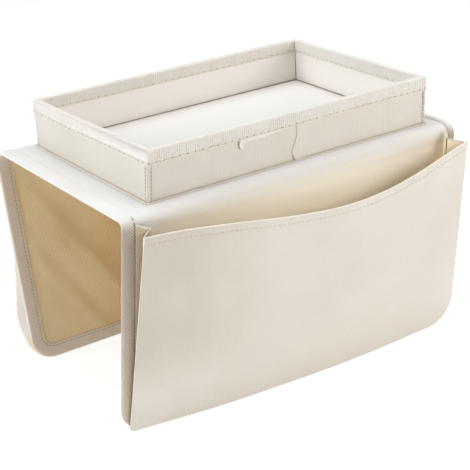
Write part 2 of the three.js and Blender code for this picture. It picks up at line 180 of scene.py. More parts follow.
def at_height(plan: Array, z: float) -> Array:
    """The points of a plan, all at one height."""
    return np.column_stack([plan, np.full(len(plan), z)])


def edge_spread(half: float, border: float, border_steps: int, steps: int) -> Array:
    """Places from -half to half, closer together near both ends.

    Args:
        half: Half the whole length.
        border: Length at each end that is finely divided.
        border_steps: Divisions in each border.
        steps: Divisions between the borders.

    Returns:
        The places in rising order.
    """
    arc = 1 - np.cos(np.linspace(0, np.pi / 2, border_steps + 1))
    left = -half + border * arc
    middle = np.linspace(-half + border, half - border, steps + 1)
    return np.concatenate([left[:-1], middle, -left[:-1][::-1]])


# Meshes


def add_object(name: str, data: bpy.types.ID) -> Piece:
    """Puts data into the scene as an object at the origin.

    Args:
        name: The object's name.
        data: Its mesh, lamp or camera.

    Returns:
        The object.
    """
    made = bpy.data.objects.new(name, data)
    bpy.context.scene.collection.objects.link(made)
    return made


def make_object(name: str, points: Array, faces: list[Sequence[int]], uvs: Array) -> Piece:
    """Makes a smooth mesh object, with faces pointing out and a cloth UV map in metres.

    Args:
        name: The piece's name.
        points: Its vertices, in any grid with 3 last.
        faces: Vertex numbers of each face.
        uvs: Cloth coordinates of each vertex, in the same grid with 2 last.

    Returns:
        The object.
    """
    mesh = bpy.data.meshes.new(name)
    mesh.from_pydata(points.reshape(-1, 3).tolist(), [], faces)
    work = bmesh.new()
    work.from_mesh(mesh)
    bmesh.ops.recalc_face_normals(work, faces=work.faces)
    work.to_mesh(mesh)
    work.free()
    layer = mesh.uv_layers.new(name=UV_NAME)
    corners = np.zeros(len(mesh.loops), np.int32)
    mesh.loops.foreach_get("vertex_index", corners)
    layer.data.foreach_set("uv", uvs.reshape(-1, 2)[corners].astype(np.float32).ravel())
    mesh.shade_smooth()
    mesh.set_sharp_from_angle(angle=SHARP_ANGLE)
    return add_object(name, mesh)


def sheet_object(name: str, outer: Array, inner: Array, uvs: Array) -> Piece:
    """A sheet of cloth between two grids of points, closed round its rim.

    Args:
        name: The piece's name.
        outer: Outer face, as columns by rows by 3.
        inner: Inner face, of the same form.
        uvs: Cloth coordinates, as columns by rows by 2.

    Returns:
        The object. Its faces are ordered outer, inner, rim.
    """
    count = outer.shape[0] * outer.shape[1]
    number = np.arange(count).reshape(outer.shape[:2])
    front = grid(number[:-1, :-1], number[1:, :-1], number[1:, 1:], number[:-1, 1:]).reshape(-1, 4)
    loop = np.concatenate([number[:, 0], number[-1, 1:], number[-2::-1, -1], number[0, -2:0:-1]])
    after = np.roll(loop, -1)
    rim = grid(loop, loop + count, after + count, after)
    faces = np.concatenate([front, front[:, ::-1] + count, rim]).tolist()
    return make_object(name, np.stack([outer, inner]), faces, np.stack([uvs, uvs]))


def strip_object(name: str, rings: Array, uvs: Array, loop: bool = False) -> Piece:
    """A strip with a closed section carried along a path.

    Args:
        name: The piece's name.
        rings: Points, as stations by section by 3.
        uvs: Cloth coordinates, as stations by section by 2.
        loop: Whether the path closes on itself, instead of ending in two caps.

    Returns:
        The object.
    """
    number = np.arange(rings.shape[0] * rings.shape[1]).reshape(rings.shape[:2])
    here = number if loop else number[:-1]
    there = np.roll(number, -1, 0) if loop else number[1:]
    faces = grid(here, np.roll(here, -1, 1), np.roll(there, -1, 1), there).reshape(-1, 4).tolist()
    if not loop:
        faces += [number[0].tolist(), number[-1].tolist()]
    return make_object(name, rings, faces, uvs)


def dress(piece: Piece, *materials: bpy.types.Material) -> None:
    """Gives a piece its materials, the first one on every face."""
    for material in materials:
        piece.data.materials.append(material)


def dress_faces(piece: Piece, faces: Array, rim: int) -> None:
    """Picks the material of a sheet's outer and inner faces, by a grid of numbers, and of its rim.

    Args:
        piece: A sheet.
        faces: Material numbers of its outer and inner faces, as 2 by columns by rows.
        rim: Material number of its rim.
    """
    index = np.full(len(piece.data.polygons), rim, np.int32)
    index[: faces.size] = faces.ravel()
    piece.data.polygons.foreach_set("material_index", index)


# Node trees


class Sock:
    """An output socket whose Python expressions add Math nodes."""

    def __init__(self, tree: "Tree", socket: bpy.types.NodeSocket) -> None:
        """Wraps a socket of a tree."""
        self.tree = tree
        self.socket = socket

    def math(self, operation: str, *values: "Sock | float") -> "Sock":
        """Adds a Math node whose first input is this socket."""
        return self.tree.math(operation, self, *values)

    def __add__(self, other: "Sock | float") -> "Sock":
        """Sum."""
        return self.math("ADD", other)

    __radd__ = __add__

    def __sub__(self, other: "Sock | float") -> "Sock":
        """Difference."""
        return self.math("SUBTRACT", other)

    def __rsub__(self, other: float) -> "Sock":
        """Difference from a number."""
        return self.tree.math("SUBTRACT", other, self)

    def __mul__(self, other: "Sock | float") -> "Sock":
        """Product."""
        return self.math("MULTIPLY", other)

    __rmul__ = __mul__

    def __truediv__(self, other: "Sock | float") -> "Sock":
        """Quotient."""
        return self.math("DIVIDE", other)

    def __mod__(self, other: "Sock | float") -> "Sock":
        """Remainder, never negative."""
        return self.math("FLOORED_MODULO", other)

    def wave(self) -> "Sock":
        """Runs from 0 to 1 and back over each whole step of this value."""
        return ((self * math.tau).math("COSINE") * -0.5) + 0.5

    def between(self, start: float, end: float) -> "Sock":
        """Share of the way from start to end."""
        return (self - start) / (end - start)


class Tree:
    """A node tree under construction."""

    def __init__(self, tree: bpy.types.NodeTree) -> None:
        """Empties a tree to start with."""
        self.tree = tree
        tree.nodes.clear()

    def node(self, kind: str, settings: dict | None = None, inputs: dict | None = None) -> bpy.types.Node:
        """Adds a node.

        Args:
            kind: The node's type.
            settings: Its properties, set first.
            inputs: Values or links of its sockets, by name or number.

        Returns:
            The node.
        """
        made = self.tree.nodes.new(kind)
        for key, value in (settings or {}).items():
            setattr(made, key, value)
        for key, value in (inputs or {}).items():
            if isinstance(value, Sock):
                self.tree.links.new(value.socket, made.inputs[key])
            else:
                made.inputs[key].default_value = value
        return made

    def out(
        self, kind: str, settings: dict | None = None, inputs: dict | None = None, output: int | str = 0
    ) -> Sock:
        """Adds a node and gives one of its outputs."""
        return Sock(self, self.node(kind, settings, inputs).outputs[output])

    def math(self, operation: str, *values: Sock | float) -> Sock:
        """Adds a Math node and gives its output."""
        return self.out("ShaderNodeMath", {"operation": operation}, dict(enumerate(values)))

    def in_view(self) -> Sock:
        """1 for rays that show a surface to the camera, and 0 for those that only carry light.

        Returns:
            The factor.
        """
        rays = [f"Is {kind} Ray" for kind in ("Camera", "Glossy", "Transmission")]
        camera, glossy, through = (self.out("ShaderNodeLightPath", output=ray) for ray in rays)
        return camera.math("MAXIMUM", glossy).math("MAXIMUM", through)


class Shader(Tree):
    """A material under construction."""

    def __init__(self, name: str) -> None:
        """Starts a material with an empty tree.

        Args:
            name: The material's name.
        """
        self.material = bpy.data.materials.new(name)
        self.material.use_nodes = True
        super().__init__(self.material.node_tree)

    def mix(self, factor: Sock | float, first: Sock | tuple, second: Sock | tuple) -> Sock:
        """Mixes two colours by a factor."""
        settings = {"data_type": "RGBA", "clamp_factor": True}
        return self.out("ShaderNodeMix", settings, {0: factor, 6: first, 7: second}, output=2)

    def cloth_place(self) -> list[Sock]:
        """Cloth coordinates of the surface, along and across, in metres.

        Returns:
            The two coordinates.
        """
        place = self.out("ShaderNodeUVMap", {"uv_map": UV_NAME})
        split = self.node("ShaderNodeSeparateXYZ", inputs={0: place})
        return [Sock(self, output) for output in split.outputs[:2]]

    def object_place(self) -> Sock:
        """Place of the surface in the piece's own frame."""
        return self.out("ShaderNodeTexCoord", output="Object")

    def place_on(self, axis: int) -> Sock:
        """Place of the surface along one axis of the piece's own frame."""
        return self.out("ShaderNodeSeparateXYZ", inputs={0: self.object_place()}, output=axis)

    def noise(self, scale: float, detail: float = 2.0) -> Sock:
        """Cloudy variation from about 0.2 to 0.8, in steps of about 1/scale metres."""
        inputs = {"Vector": self.object_place(), "Scale": scale, "Detail": detail}
        return self.out("ShaderNodeTexNoise", inputs=inputs)

    def finish(
        self,
        colour: Sock,
        roughness: Sock,
        height: Sock,
        depth: float,
        sheen: float,
        glow: Sock | None = None,
    ) -> bpy.types.Material:
        """Closes the tree with a bumped cloth surface.

        Args:
            colour: Base colour.
            roughness: Roughness of the surface.
            height: Relief from 0 to 1.
            depth: Depth of that relief in metres.
            sheen: Weight of the fibres' sheen.
            glow: Light that comes through the cloth, if any.

        Returns:
            The finished material.
        """
        relief = {"Strength": 1.0, "Distance": depth, "Height": height}
        inputs = {
            "Base Color": colour,
            "Roughness": roughness,
            "Normal": self.out("ShaderNodeBump", inputs=relief),
            "Sheen Weight": sheen,
            "Sheen Roughness": 0.5,
            "Specular IOR Level": 0.25,
        }
        if glow is not None:
            inputs |= {"Emission Color": glow, "Emission Strength": 1.0}
        surface = self.out("ShaderNodeBsdfPrincipled", inputs=inputs)
        self.node("ShaderNodeOutputMaterial", inputs={"Surface": surface})
        return self.material


# Finishes


@dataclass(frozen=True)
class Zone:
    """A stretch along an axis over which a cloth's two colours pass to two others, to paint light or shade
    onto it.
    """

    axis: int
    start: float
    end: float
    colour: Colour
    shade: Colour


@dataclass(frozen=True)
class Glow:
    """Painted light: a glow that stands in for light through a cloth, which grows from one height to another.
    """

    colour: Colour
    start: float = 0.0
    end: float = 1 * MM


@dataclass(frozen=True)
class WovenCloth:
    """Oxford cloth: pairs of threads that pass over and under each other."""

    name: str
    colour: Colour
    shade: Colour
    thread: float = 1.25 * MM
    depth: float = 0.25 * MM
    roughness: float = 0.72
    sheen: float = 0.12
    contrast: float = 0.8
    slubs: float = 900.0
    clouds: float = 22.0
    zones: tuple[Zone, ...] = ()
    glow: Glow | None = None

    def material(self) -> bpy.types.Material:
        """Builds the cloth's material.

        Returns:
            The material.
        """
        shader = Shader(self.name)
        warp, weft = (place / self.thread for place in shader.cloth_place())
        over = (warp.math("FLOOR") + weft.math("FLOOR")) % 2.0
        height = warp.wave() * over + weft.wave() * (1.0 - over)
        slub, cloud = shader.noise(self.slubs, 3.0), shader.noise(self.clouds)
        # Painted shade in the grooves between threads, with random clouds and slubs of tone.
        groove_shade_and_mottle = (1.0 - height) * self.contrast + cloud * 0.4 + slub * 0.25 - 0.375
        ground, shade = linear(self.colour), linear(self.shade)
        for zone in self.zones:
            share = shader.place_on(zone.axis).between(zone.start, zone.end)
            ground = shader.mix(share, ground, linear(zone.colour))
            shade = shader.mix(share, shade, linear(zone.shade))
        through = None
        if self.glow is not None:
            share = shader.place_on(AXIS_Z).between(self.glow.start, self.glow.end)
            through = shader.mix(share, linear((0, 0, 0)), linear(self.glow.colour))
        rough = slub * 0.2 + (self.roughness - 0.1)
        relief = height * 0.8 + slub * 0.5
        return shader.finish(shader.mix(groove_shade_and_mottle, ground, shade), rough, relief, self.depth, self.sheen, through)


@dataclass(frozen=True)
class TwillTape:
    """Woven tape with slanting ribs, with painted light in its colour: a painted highlight where it lies flat
    on top, and lighter, warmer painted light towards the floor.
    """

    name: str
    colour: Colour
    groove: Colour
    # Painted light: the colour towards the floor, then the painted highlight's colour and the heights over
    # which it comes in on top.
    warm: Colour
    pale: Colour = (232, 228, 223)
    pale_from: float = 0.178
    pale_to: float = 0.187
    rib: float = 1.8 * MM
    yarn: float = 1.08 * MM
    slant: float = 0.9
    depth: float = 0.25 * MM
    fuzz: float = 1400.0
    sheen: float = 0.15

    def material(self) -> bpy.types.Material:
        """Builds the tape's material.

        Returns:
            The material.
        """
        shader = Shader(self.name)
        along, across = shader.cloth_place()
        twill = ((along + across * self.slant) / self.rib).wave()
        height = twill * 0.7 + twill * (across / self.yarn).wave() * 0.3
        fuzz = shader.noise(self.fuzz, 3.0)
        rise = shader.place_on(AXIS_Z)
        # Painted light: the colour grows lighter and warmer towards the floor and passes to the painted
        # highlight on top.
        lift = rise.between(self.pale_from, self.pale_to).math("MAXIMUM", 0.0)
        ground = shader.mix(rise / self.pale_from, linear(self.warm), linear(self.colour))
        ground = shader.mix(lift, ground, linear(self.pale))
        # Painted shade in the grooves, which fades under the painted highlight, with random fuzz.
        groove_shade_and_mottle = (1.0 - height) * 0.7 * (1.0 - lift.math("MINIMUM", 0.92)) + fuzz * 0.2 - 0.15
        colour = shader.mix(groove_shade_and_mottle, ground, linear(self.groove))
        return shader.finish(colour, fuzz * 0.2 + 0.72, height + fuzz * 0.3, self.depth, self.sheen)


@dataclass(frozen=True)
class PlainFibre:
    """Thread, board and ribs: fine fibres along one direction, with cloudy colour."""

    name: str
    colour: Colour
    shade: Colour
    grain: float = 700.0
    clouds: float = 40.0
    depth: float = 0.06 * MM
    roughness: float = 0.75
    sheen: float = 0.1

    def material(self) -> bpy.types.Material:
        """Builds the material.

        Returns:
            The material.
        """
        shader = Shader(self.name)
        grain, cloud = shader.noise(self.grain, 4.0), shader.noise(self.clouds)
        colour = shader.mix(grain * 0.8 + cloud * 0.5 - 0.3, linear(self.colour), linear(self.shade))
        return shader.finish(colour, grain * 0.2 + (self.roughness - 0.1), grain, self.depth, self.sheen)


def make_wardrobe() -> Wardrobe:
    """Builds every finish of the object.

    Returns:
        The materials by their use.
    """
    oxford = {"colour": (229, 222, 211), "shade": (192, 183, 167), "depth": 0.13 * MM, "contrast": 0.6}
    cream = {"colour": (252, 238, 208), "shade": (236, 214, 172)}
    # Painted light on the saddle cloth: lighter and warmer below the fold, behind the pocket's mouth, and
    # lighter on the top panel.
    painted_fold_light = (
        Zone(AXIS_Z, 0.182, 0.170, (246, 238, 221), (226, 215, 192)),
        Zone(AXIS_Z, 0.180, 0.187, (236, 233, 229), (208, 202, 195)),
    )
    # Painted shade on the front pocket: darker towards its left, and back to about the plain cloth towards
    # its bottom.
    painted_pocket_shade = (
        Zone(AXIS_X, -0.035, -0.125, (216, 208, 193), (182, 172, 153)),
        Zone(AXIS_Z, 0.080, 0.035, (233, 226, 215), (196, 187, 171)),
    )
    # Painted shade: the lining turns darker and more saturated further in from the saddle's left end, under
    # the saddle.
    painted_tunnel_shade = Zone(AXIS_X, -0.09, -0.05, (247, 217, 160), (212, 176, 118))
    # Painted light: a faint warm glow below the fold that stands in for light coming through the pocket
    # cloth.
    painted_glow_under_fold = Glow((66, 60, 49), 0.180, 0.164)
    finishes = {
        "cloth": WovenCloth("ivory_oxford", **oxford),
        "saddle_cloth": WovenCloth("ivory_oxford_zoned", **oxford, zones=painted_fold_light, glow=painted_glow_under_fold),
        "pocket_front": WovenCloth("ivory_oxford_hung", **oxford, zones=painted_pocket_shade),
        # Painted shade: a darker fawn copy of the cream reverse, for the front pocket's left gusset.
        "gusset": WovenCloth("fawn_reverse", (213, 193, 164), (183, 161, 130)),
        # Painted light: the backlit and lit copies of the reverse glow in place of light through the thin
        # cloth, and the backlit one is also paler.
        "backlit": WovenCloth(
            "backlit_reverse", (250, 243, 232), (238, 229, 214), glow=Glow((150, 142, 130))
        ),
        "lit_gusset": WovenCloth("lit_reverse", **cream, glow=Glow((106, 96, 80))),
        "tray_inside": WovenCloth("tray_inside_cloth", (248, 242, 236), (236, 229, 221), depth=0.06 * MM),
        "pocket_inside": WovenCloth("cream_reverse", **cream),
        "lining": WovenCloth(
            "tan_coated_reverse", (255, 236, 194), (224, 198, 150), roughness=0.58, zones=(painted_tunnel_shade,)
        ),
        "front_tape": TwillTape("taupe_twill", (200, 186, 170), (126, 112, 102), (246, 231, 205)),
        # Painted light: a lighter copy of the same taupe tape for the rear side, which hangs in shade.
        "rear_tape": TwillTape("pale_taupe_twill", (250, 236, 221), (178, 163, 150), (255, 246, 232)),
        "floor_cloth": WovenCloth("white_floor_cloth", (231, 227, 220), (221, 215, 207), depth=0.06 * MM),
        "rim_tape": PlainFibre("ivory_grosgrain", (238, 233, 225), (216, 209, 199)),
        "thread": PlainFibre("ivory_thread", (236, 229, 215), (214, 204, 186)),
        # Partly painted shade: a tan thread, darker than the ivory one, for the hem stitches and the line at
        # the tray's foot.
        "hem_thread": PlainFibre("tan_thread", (204, 191, 166), (180, 166, 140)),
        # Painted shade: a darker copy of the ivory thread for stitches that lie in shade.
        "dark_thread": PlainFibre("shaded_thread", (166, 150, 128), (138, 122, 100)),
        "board": PlainFibre("grey_board", (165, 158, 148), (140, 132, 122), grain=260.0),
    }
    return {use: finish.material() for use, finish in finishes.items()}


# Geometry Nodes


class NodeRecipe(Tree):
    """A Geometry Nodes tree with named inputs, run once on a path and turned into a plain mesh."""

    def __init__(self, name: str, sizes: dict[str, float]) -> None:
        """Starts a tree.

        Args:
            name: Name of the tree and of the piece that it makes.
            sizes: Its named sizes and their values.
        """
        super().__init__(bpy.data.node_groups.new(name, "GeometryNodeTree"))
        self.name = name
        self.sizes = sizes
        sockets = {"Path": "Geometry", **dict.fromkeys(sizes, "Float"), "Finish": "Material"}
        for socket, kind in sockets.items():
            self.tree.interface.new_socket(socket, in_out="INPUT", socket_type=f"NodeSocket{kind}")
        self.tree.interface.new_socket("Pieces", in_out="OUTPUT", socket_type="NodeSocketGeometry")
        self.inlet = self.node("NodeGroupInput")

    def given(self, name: str) -> Sock:
        """Socket of a named input."""
        return Sock(self, self.inlet.outputs[name])

    def point(self, x: Sock, z: Sock) -> Sock:
        """A vector with these X and Z parts."""
        return self.out("ShaderNodeCombineXYZ", inputs={"X": x, "Z": z})

    def tube(self, curve: Sock, radius: Sock, sides: int) -> Sock:
        """A closed tube along a curve.

        Args:
            curve: The curve.
            radius: The tube's radius.
            sides: Sides of its section.

        Returns:
            The tube's mesh.
        """
        section = self.out("GeometryNodeCurvePrimitiveCircle", inputs={"Resolution": sides, "Radius": radius})
        inputs = {"Curve": curve, "Profile Curve": section, "Fill Caps": True}
        return self.out("GeometryNodeCurveToMesh", inputs=inputs)

    def repeat(self, pattern: Sock, wobble: float, seed: int) -> None:
        """Sets the pattern along the path, its X along it and its Z outward, and closes the tree.

        Args:
            pattern: Geometry to repeat.
            wobble: Largest random turn about the outward direction, in radians.
            seed: Seed of that turn.
        """
        curve = self.out("GeometryNodeMeshToCurve", inputs={"Mesh": self.given("Path")})
        pitch = {"Curve": curve, "Length": self.given("Pitch")}
        steps = self.out("GeometryNodeResampleCurve", {"mode": "LENGTH"}, pitch)
        tangent = self.out("GeometryNodeInputTangent")
        vector = {"data_type": "FLOAT_VECTOR"}
        outward = self.out("GeometryNodeInputNamedAttribute", vector, {"Name": OUTWARD})
        axes = {"primary_axis": "X", "secondary_axis": "Z"}
        turn = self.out("FunctionNodeAxesToRotation", axes, {0: tangent, 1: outward})
        limits = {2: -wobble, 3: wobble, "Seed": seed}
        chance = self.out("FunctionNodeRandomValue", {"data_type": "FLOAT"}, limits, output=1)
        about_z = {"Axis": (0.0, 0.0, 1.0), "Angle": chance}
        slight = self.out("FunctionNodeAxisAngleToRotation", inputs=about_z)
        turned = self.out("FunctionNodeRotateRotation", {"rotation_space": "LOCAL"}, {0: turn, 1: slight})
        spots = {"Points": steps, "Instance": pattern, "Rotation": turned}
        placed = self.out("GeometryNodeInstanceOnPoints", inputs=spots)
        real = self.out("GeometryNodeRealizeInstances", inputs={0: placed})
        soft = self.out("GeometryNodeSetShadeSmooth", inputs={0: real})
        dressed = self.out("GeometryNodeSetMaterial", inputs={0: soft, "Material": self.given("Finish")})
        self.node("NodeGroupOutput", inputs={"Pieces": dressed})

    def run(self, paths: list[Path], finish: bpy.types.Material) -> Piece:
        """Runs the tree along paths.

        Args:
            paths: Points, outward directions and whether it closes, for each path.
            finish: Material of the pieces.

        Returns:
            A plain mesh object at the origin.
        """
        edges: list[tuple[int, int]] = []
        first = 0
        for points, _, closes in paths:
            last = first + len(points) - 1
            edges += [(k, k + 1) for k in range(first, last)]
            edges += [(last, first)] if closes else []
            first = last + 1
        guide = bpy.data.meshes.new(f"{self.name}_path")
        guide.from_pydata(np.concatenate([path[0] for path in paths]).tolist(), edges, [])
        layer = guide.attributes.new(OUTWARD, "FLOAT_VECTOR", "POINT")
        outward = np.concatenate([path[1] for path in paths])
        layer.data.foreach_set("vector", outward.astype(np.float32).ravel())
        carrier = add_object(f"{self.name}_path", guide)
        modifier = carrier.modifiers.new("recipe", "NODES")
        modifier.node_group = self.tree
        for item in self.tree.interface.items_tree:
            if item.in_out == "INPUT" and item.name in self.sizes:
                modifier[item.identifier] = float(self.sizes[item.name])
            elif item.in_out == "INPUT" and item.name == "Finish":
                modifier[item.identifier] = finish
        bpy.context.view_layer.update()
        seen = carrier.evaluated_get(bpy.context.evaluated_depsgraph_get())
        mesh = bpy.data.meshes.new_from_object(seen)
        carrier.modifiers.remove(modifier)
        bpy.data.objects.remove(carrier)
        mesh.name = self.name
        return add_object(self.name, mesh)


@dataclass(frozen=True)
class Stitch:
    """A row of stitches: each is a short thread that rises out of the cloth and dips back into it."""

    pitch: float
    length: float
    radius: float
    wobble: float = 0.12

    def sew(self, name: str, paths: list[Path], thread: bpy.types.Material) -> Piece:
        """Sews the row along paths.

        Args:
            name: The piece's name.
            paths: Points, outward directions and whether it closes, for each path.
            thread: The thread's material.

        Returns:
            The stitches.
        """
        recipe = NodeRecipe(name, {"Pitch": self.pitch, "Length": self.length, "Thread": self.radius})
        length, radius = recipe.given("Length"), recipe.given("Thread")
        dip, crest = radius * -0.9, radius * 1.5
        route = {
            "Resolution": 5,
            "Start": recipe.point(length * -0.5, dip),
            "Middle": recipe.point(length * 0.0, crest),
            "End": recipe.point(length * 0.5, dip),
        }
        curve = recipe.out("GeometryNodeCurveQuadraticBezier", inputs=route)
        recipe.repeat(recipe.tube(curve, radius, sides=6), self.wobble, seed=7)
        return recipe.run(paths, thread)


@dataclass(frozen=True)
class Rib:
    """Grosgrain ribs: a rounded arch across a folded tape, repeated along the tape's outer face."""

    pitch: float
    width: float
    height: float
    radius: float
    bend: float = 1.4 * MM

    def weave(self, name: str, path: Path, finish: bpy.types.Material) -> Piece:
        """Sets the ribs along a path on the tape's outer face, at half the arch's height.

        Args:
            name: The piece's name.
            path: Points, outward directions and whether it closes.
            finish: The ribs' material.

        Returns:
            The ribs.
        """
        sizes = {"Pitch": self.pitch, "Width": self.width, "Height": self.height, "Rib": self.radius}
        recipe = NodeRecipe(name, sizes)
        width = recipe.given("Width")
        sides = {"Width": recipe.given("Height"), "Height": width}
        loop = recipe.out("GeometryNodeCurvePrimitiveQuadrilateral", inputs=sides)
        arch = recipe.out("GeometryNodeSetSplineCyclic", inputs={"Geometry": loop, "Cyclic": False})
        bends = {"Curve": arch, "Radius": self.bend, "Count": 4}
        tube = recipe.tube(
            recipe.out("GeometryNodeFilletCurve", {"mode": "POLY"}, bends), recipe.given("Rib"), sides=5
        )
        upright = {
            "Geometry": tube,
            "Translation": recipe.point(width * 0.0, width * -0.5),
            "Rotation": (math.pi / 2, 0.0, -math.pi / 2),
        }
        recipe.repeat(recipe.out("GeometryNodeTransform", inputs=upright), 0.0, seed=1)
        return recipe.run([path], finish)


# Saddle


@dataclass(frozen=True)
class Hang:
    """How one side of the saddle hangs, as seen from outside it.

    The lean is in degrees at the left end, the middle and the right end. The fold's radius is given at both
    ends. Each pull is the height, place and width of a slanting crease.
    """

    lean: tuple[float, float, float]
    tight_ends: tuple[float, float]
    fold_slant: float
    ripples: float
    drawn_up: float = 0.0
    pulls: tuple[tuple[float, float, float], ...] = ()


HANGS = {
    Side.FRONT: Hang((9.2, 4.6, 3.6), (4.5 * MM, 9 * MM), fold_slant=0.35, ripples=0.4, drawn_up=3.2 * MM),
    Side.REAR: Hang(
        (7.6, 8.8, 9.2),
        (9 * MM, 13 * MM),
        fold_slant=-0.55,
        ripples=1.7,
        pulls=((1.0, -193 * MM, 8 * MM), (0.8, -151 * MM, 7 * MM)),
    ),
}


@dataclass
class Saddle:
    """The cloth that hangs over the arm: outer cloth, lining and the twill tape round its edge."""

    wardrobe: Wardrobe
    fold_radius: float = 13 * MM
    cloth: float = 0.6 * MM
    tape: float = 0.6 * MM
    gap: float = 0.3 * MM
    board: float = 2 * MM
    tape_reach: float = 12 * MM
    tape_roll: float = 2 * MM
    tape_narrowing: float = 0.5
    narrow_run: float = 30 * MM
    tape_pucker: float = 0.06
    flap_corner: float = 20 * MM
    flap_rise: float = 1 * MM
    lining_rise_run: float = 4 * MM
    cloth_inset: float = 0.2 * MM
    fine_border: float = 24 * MM
    stitch: Stitch = Stitch(3.4 * MM, 2.7 * MM, 0.28 * MM)
    stitch_inset: float = 2.2 * MM
    stitch_stand: float = 0.66 * MM
    sag_in: float = 2.2 * MM
    sag_below: float = 40 * MM
    sag_above: float = 30 * MM
    sag_sides: tuple[float, float] = (8 * MM, 50 * MM)
    sag_even: float = 0.6
    sag_swing: float = 1.4
    fold_pitch: float = 92 * MM
    fold_start: float = 0.7
    ripple_pitch: float = 64 * MM
    ripple_start: float = 2.1
    ripple_slant: float = 0.9
    pull: float = 1.25 * MM
    pull_slant: float = 0.65
    pull_above: float = 20 * MM
    pull_sides: tuple[float, float] = (8 * MM, 24 * MM)
    tight_run: float = 90 * MM
    drawn_from: float = 0.2
    edge_steps: int = 120
    low_steps: int = 130

    def __post_init__(self) -> None:
        """Takes the saddle's main places from the frame."""
        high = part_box("top_outer_cloth")[1]
        self.half = high.x
        self.top = high.z
        self.fold_y = high.y + self.gap
        self.fold_z = self.top - self.fold_radius
        self.bend = self.fold_radius * math.pi / 2
        self.stack = 2 * self.cloth + self.gap
        self.tape_build = self.tape + self.gap
        self.tape_inner = self.tape_reach - self.tape_build
        self.sewn_x = self.half - self.tape_inner

    def lean_at(self, side: Side, x: Number) -> Array:
        """Lean of a flap towards the arm at x, in radians.

        Args:
            side: Side of the saddle.
            x: Along the fold.

        Returns:
            The lean.
        """
        left, middle, right = HANGS[side].lean
        share = np.asarray(x, float) / self.half
        return np.radians(middle + (right - left) / 2 * share + ((right + left) / 2 - middle) * share**2)

    def bend_radius(self, side: Side, x: Number) -> Array:
        """Radius of the fold at x, tighter towards the bound ends.

        Args:
            side: Side of the saddle.
            x: Along the fold.

        Returns:
            The radius.
        """
        left, right = HANGS[side].tight_ends
        near_left = 1 - smooth(x, -self.half, self.tight_run - self.half)
        near_right = smooth(x, self.half - self.tight_run, self.half)
        full = self.fold_radius
        return full - (full - left) * near_left - (full - right) * near_right

    def surface(self, side: Side, x: Number, u: Number, w: Number) -> Array:
        """Points on the saddle.

        Args:
            side: Side of the saddle.
            x: Along the fold.
            u: Down the cloth from the fold, negative on the top panel.
            w: Out from the outer face.

        Returns:
            The points, with one more axis of 3.
        """
        lean = self.lean_at(side, x)
        tight, sweep = self.bend_radius(side, x), np.pi / 2 + lean
        spare = (self.fold_radius - tight) * (1 + np.sin(lean)) / np.cos(lean)
        walk = np.clip(u / self.bend, 0, 1) * (2 * spare + tight * sweep)
        turn = np.clip((walk - spare) / tight, 0, sweep)
        level = np.minimum(u, 0) + np.minimum(walk, spare)
        down = np.maximum(u - self.bend, 0) + np.maximum(walk - spare - tight * sweep, 0)
        y = -self.fold_y - level - (tight + w) * np.sin(turn) + down * np.sin(lean)
        z = self.top - tight + (tight + w) * np.cos(turn) - down * np.cos(lean)
        return grid(x, y, z) * side.turn

    def plane(self, side: Side, x: Number, v: Number, w: Number) -> Array:
        """Points on the flap's own plane, v down it from the end of the fold and w out from its face.

        Args:
            side: Side of the saddle.
            x: Along the fold.
            v: Down the flap from the end of the fold.
            w: Out from the flap's face.

        Returns:
            The points, with one more axis of 3.
        """
        lean = self.lean_at(side, x)
        radius = self.fold_radius + w
        y = -self.fold_y - radius * np.cos(lean) + v * np.sin(lean)
        z = self.fold_z - radius * np.sin(lean) - v * np.cos(lean)
        return grid(x, y, z) * side.turn

    def run_to_floor(self, side: Side, x: Number, w: float) -> Array:
        """How far down the flap a point that stands w off it meets the floor."""
        lean = self.lean_at(side, x)
        return (self.fold_z - (self.fold_radius + w) * np.sin(lean)) / np.cos(lean)

    def raised(self, side: Side, x: Number) -> Array:
        """How far a flap's right end is drawn up off the floor."""
        return HANGS[side].drawn_up * smooth(x, self.drawn_from * self.half, self.half)

    def straight_end(self, side: Side, x: Number) -> Array:
        """Distance u of the cloth's lower end, before its corners are rounded."""
        end = self.bend + self.run_to_floor(side, x, self.tape_build) - self.flap_rise - self.tape_build
        return end - self.raised(side, x)

    def slack(self, side: Side, x: Number, u: Number) -> Array:
        """How far the hanging cloth sags in between its bound edges, as a negative w.

        Args:
            side: Side of the saddle.
            x: Along the fold.
            u: Down the cloth from the fold.

        Returns:
            The sag.
        """
        hang = HANGS[side]
        x, down = np.asarray(x, float), np.asarray(u, float) - self.bend
        below, above = smooth(down, 0, self.sag_below), self.straight_end(side, x) - self.bend - down
        inward = self.half - np.abs(x)
        hold = below * smooth(above, 0, self.sag_above) * smooth(inward, *self.sag_sides)
        folds = swing((x + hang.fold_slant * down) / self.fold_pitch, self.fold_start)
        turns = (x + self.ripple_slant * down) / self.ripple_pitch
        ripple = hang.ripples * swing(turns, self.ripple_start)
        even = self.sag_even
        sag = self.sag_in * hold * (even + (1 - even) * (folds + ripple) / self.sag_swing)
        kept = below * smooth(above, 0, self.pull_above) * smooth(inward, *self.pull_sides)
        slanted = x * side.turn[0] - self.pull_slant * down
        pulls = sum(height * ridge(slanted, place, width) for height, place, width in hang.pulls)
        return -sag - self.pull * kept * pulls

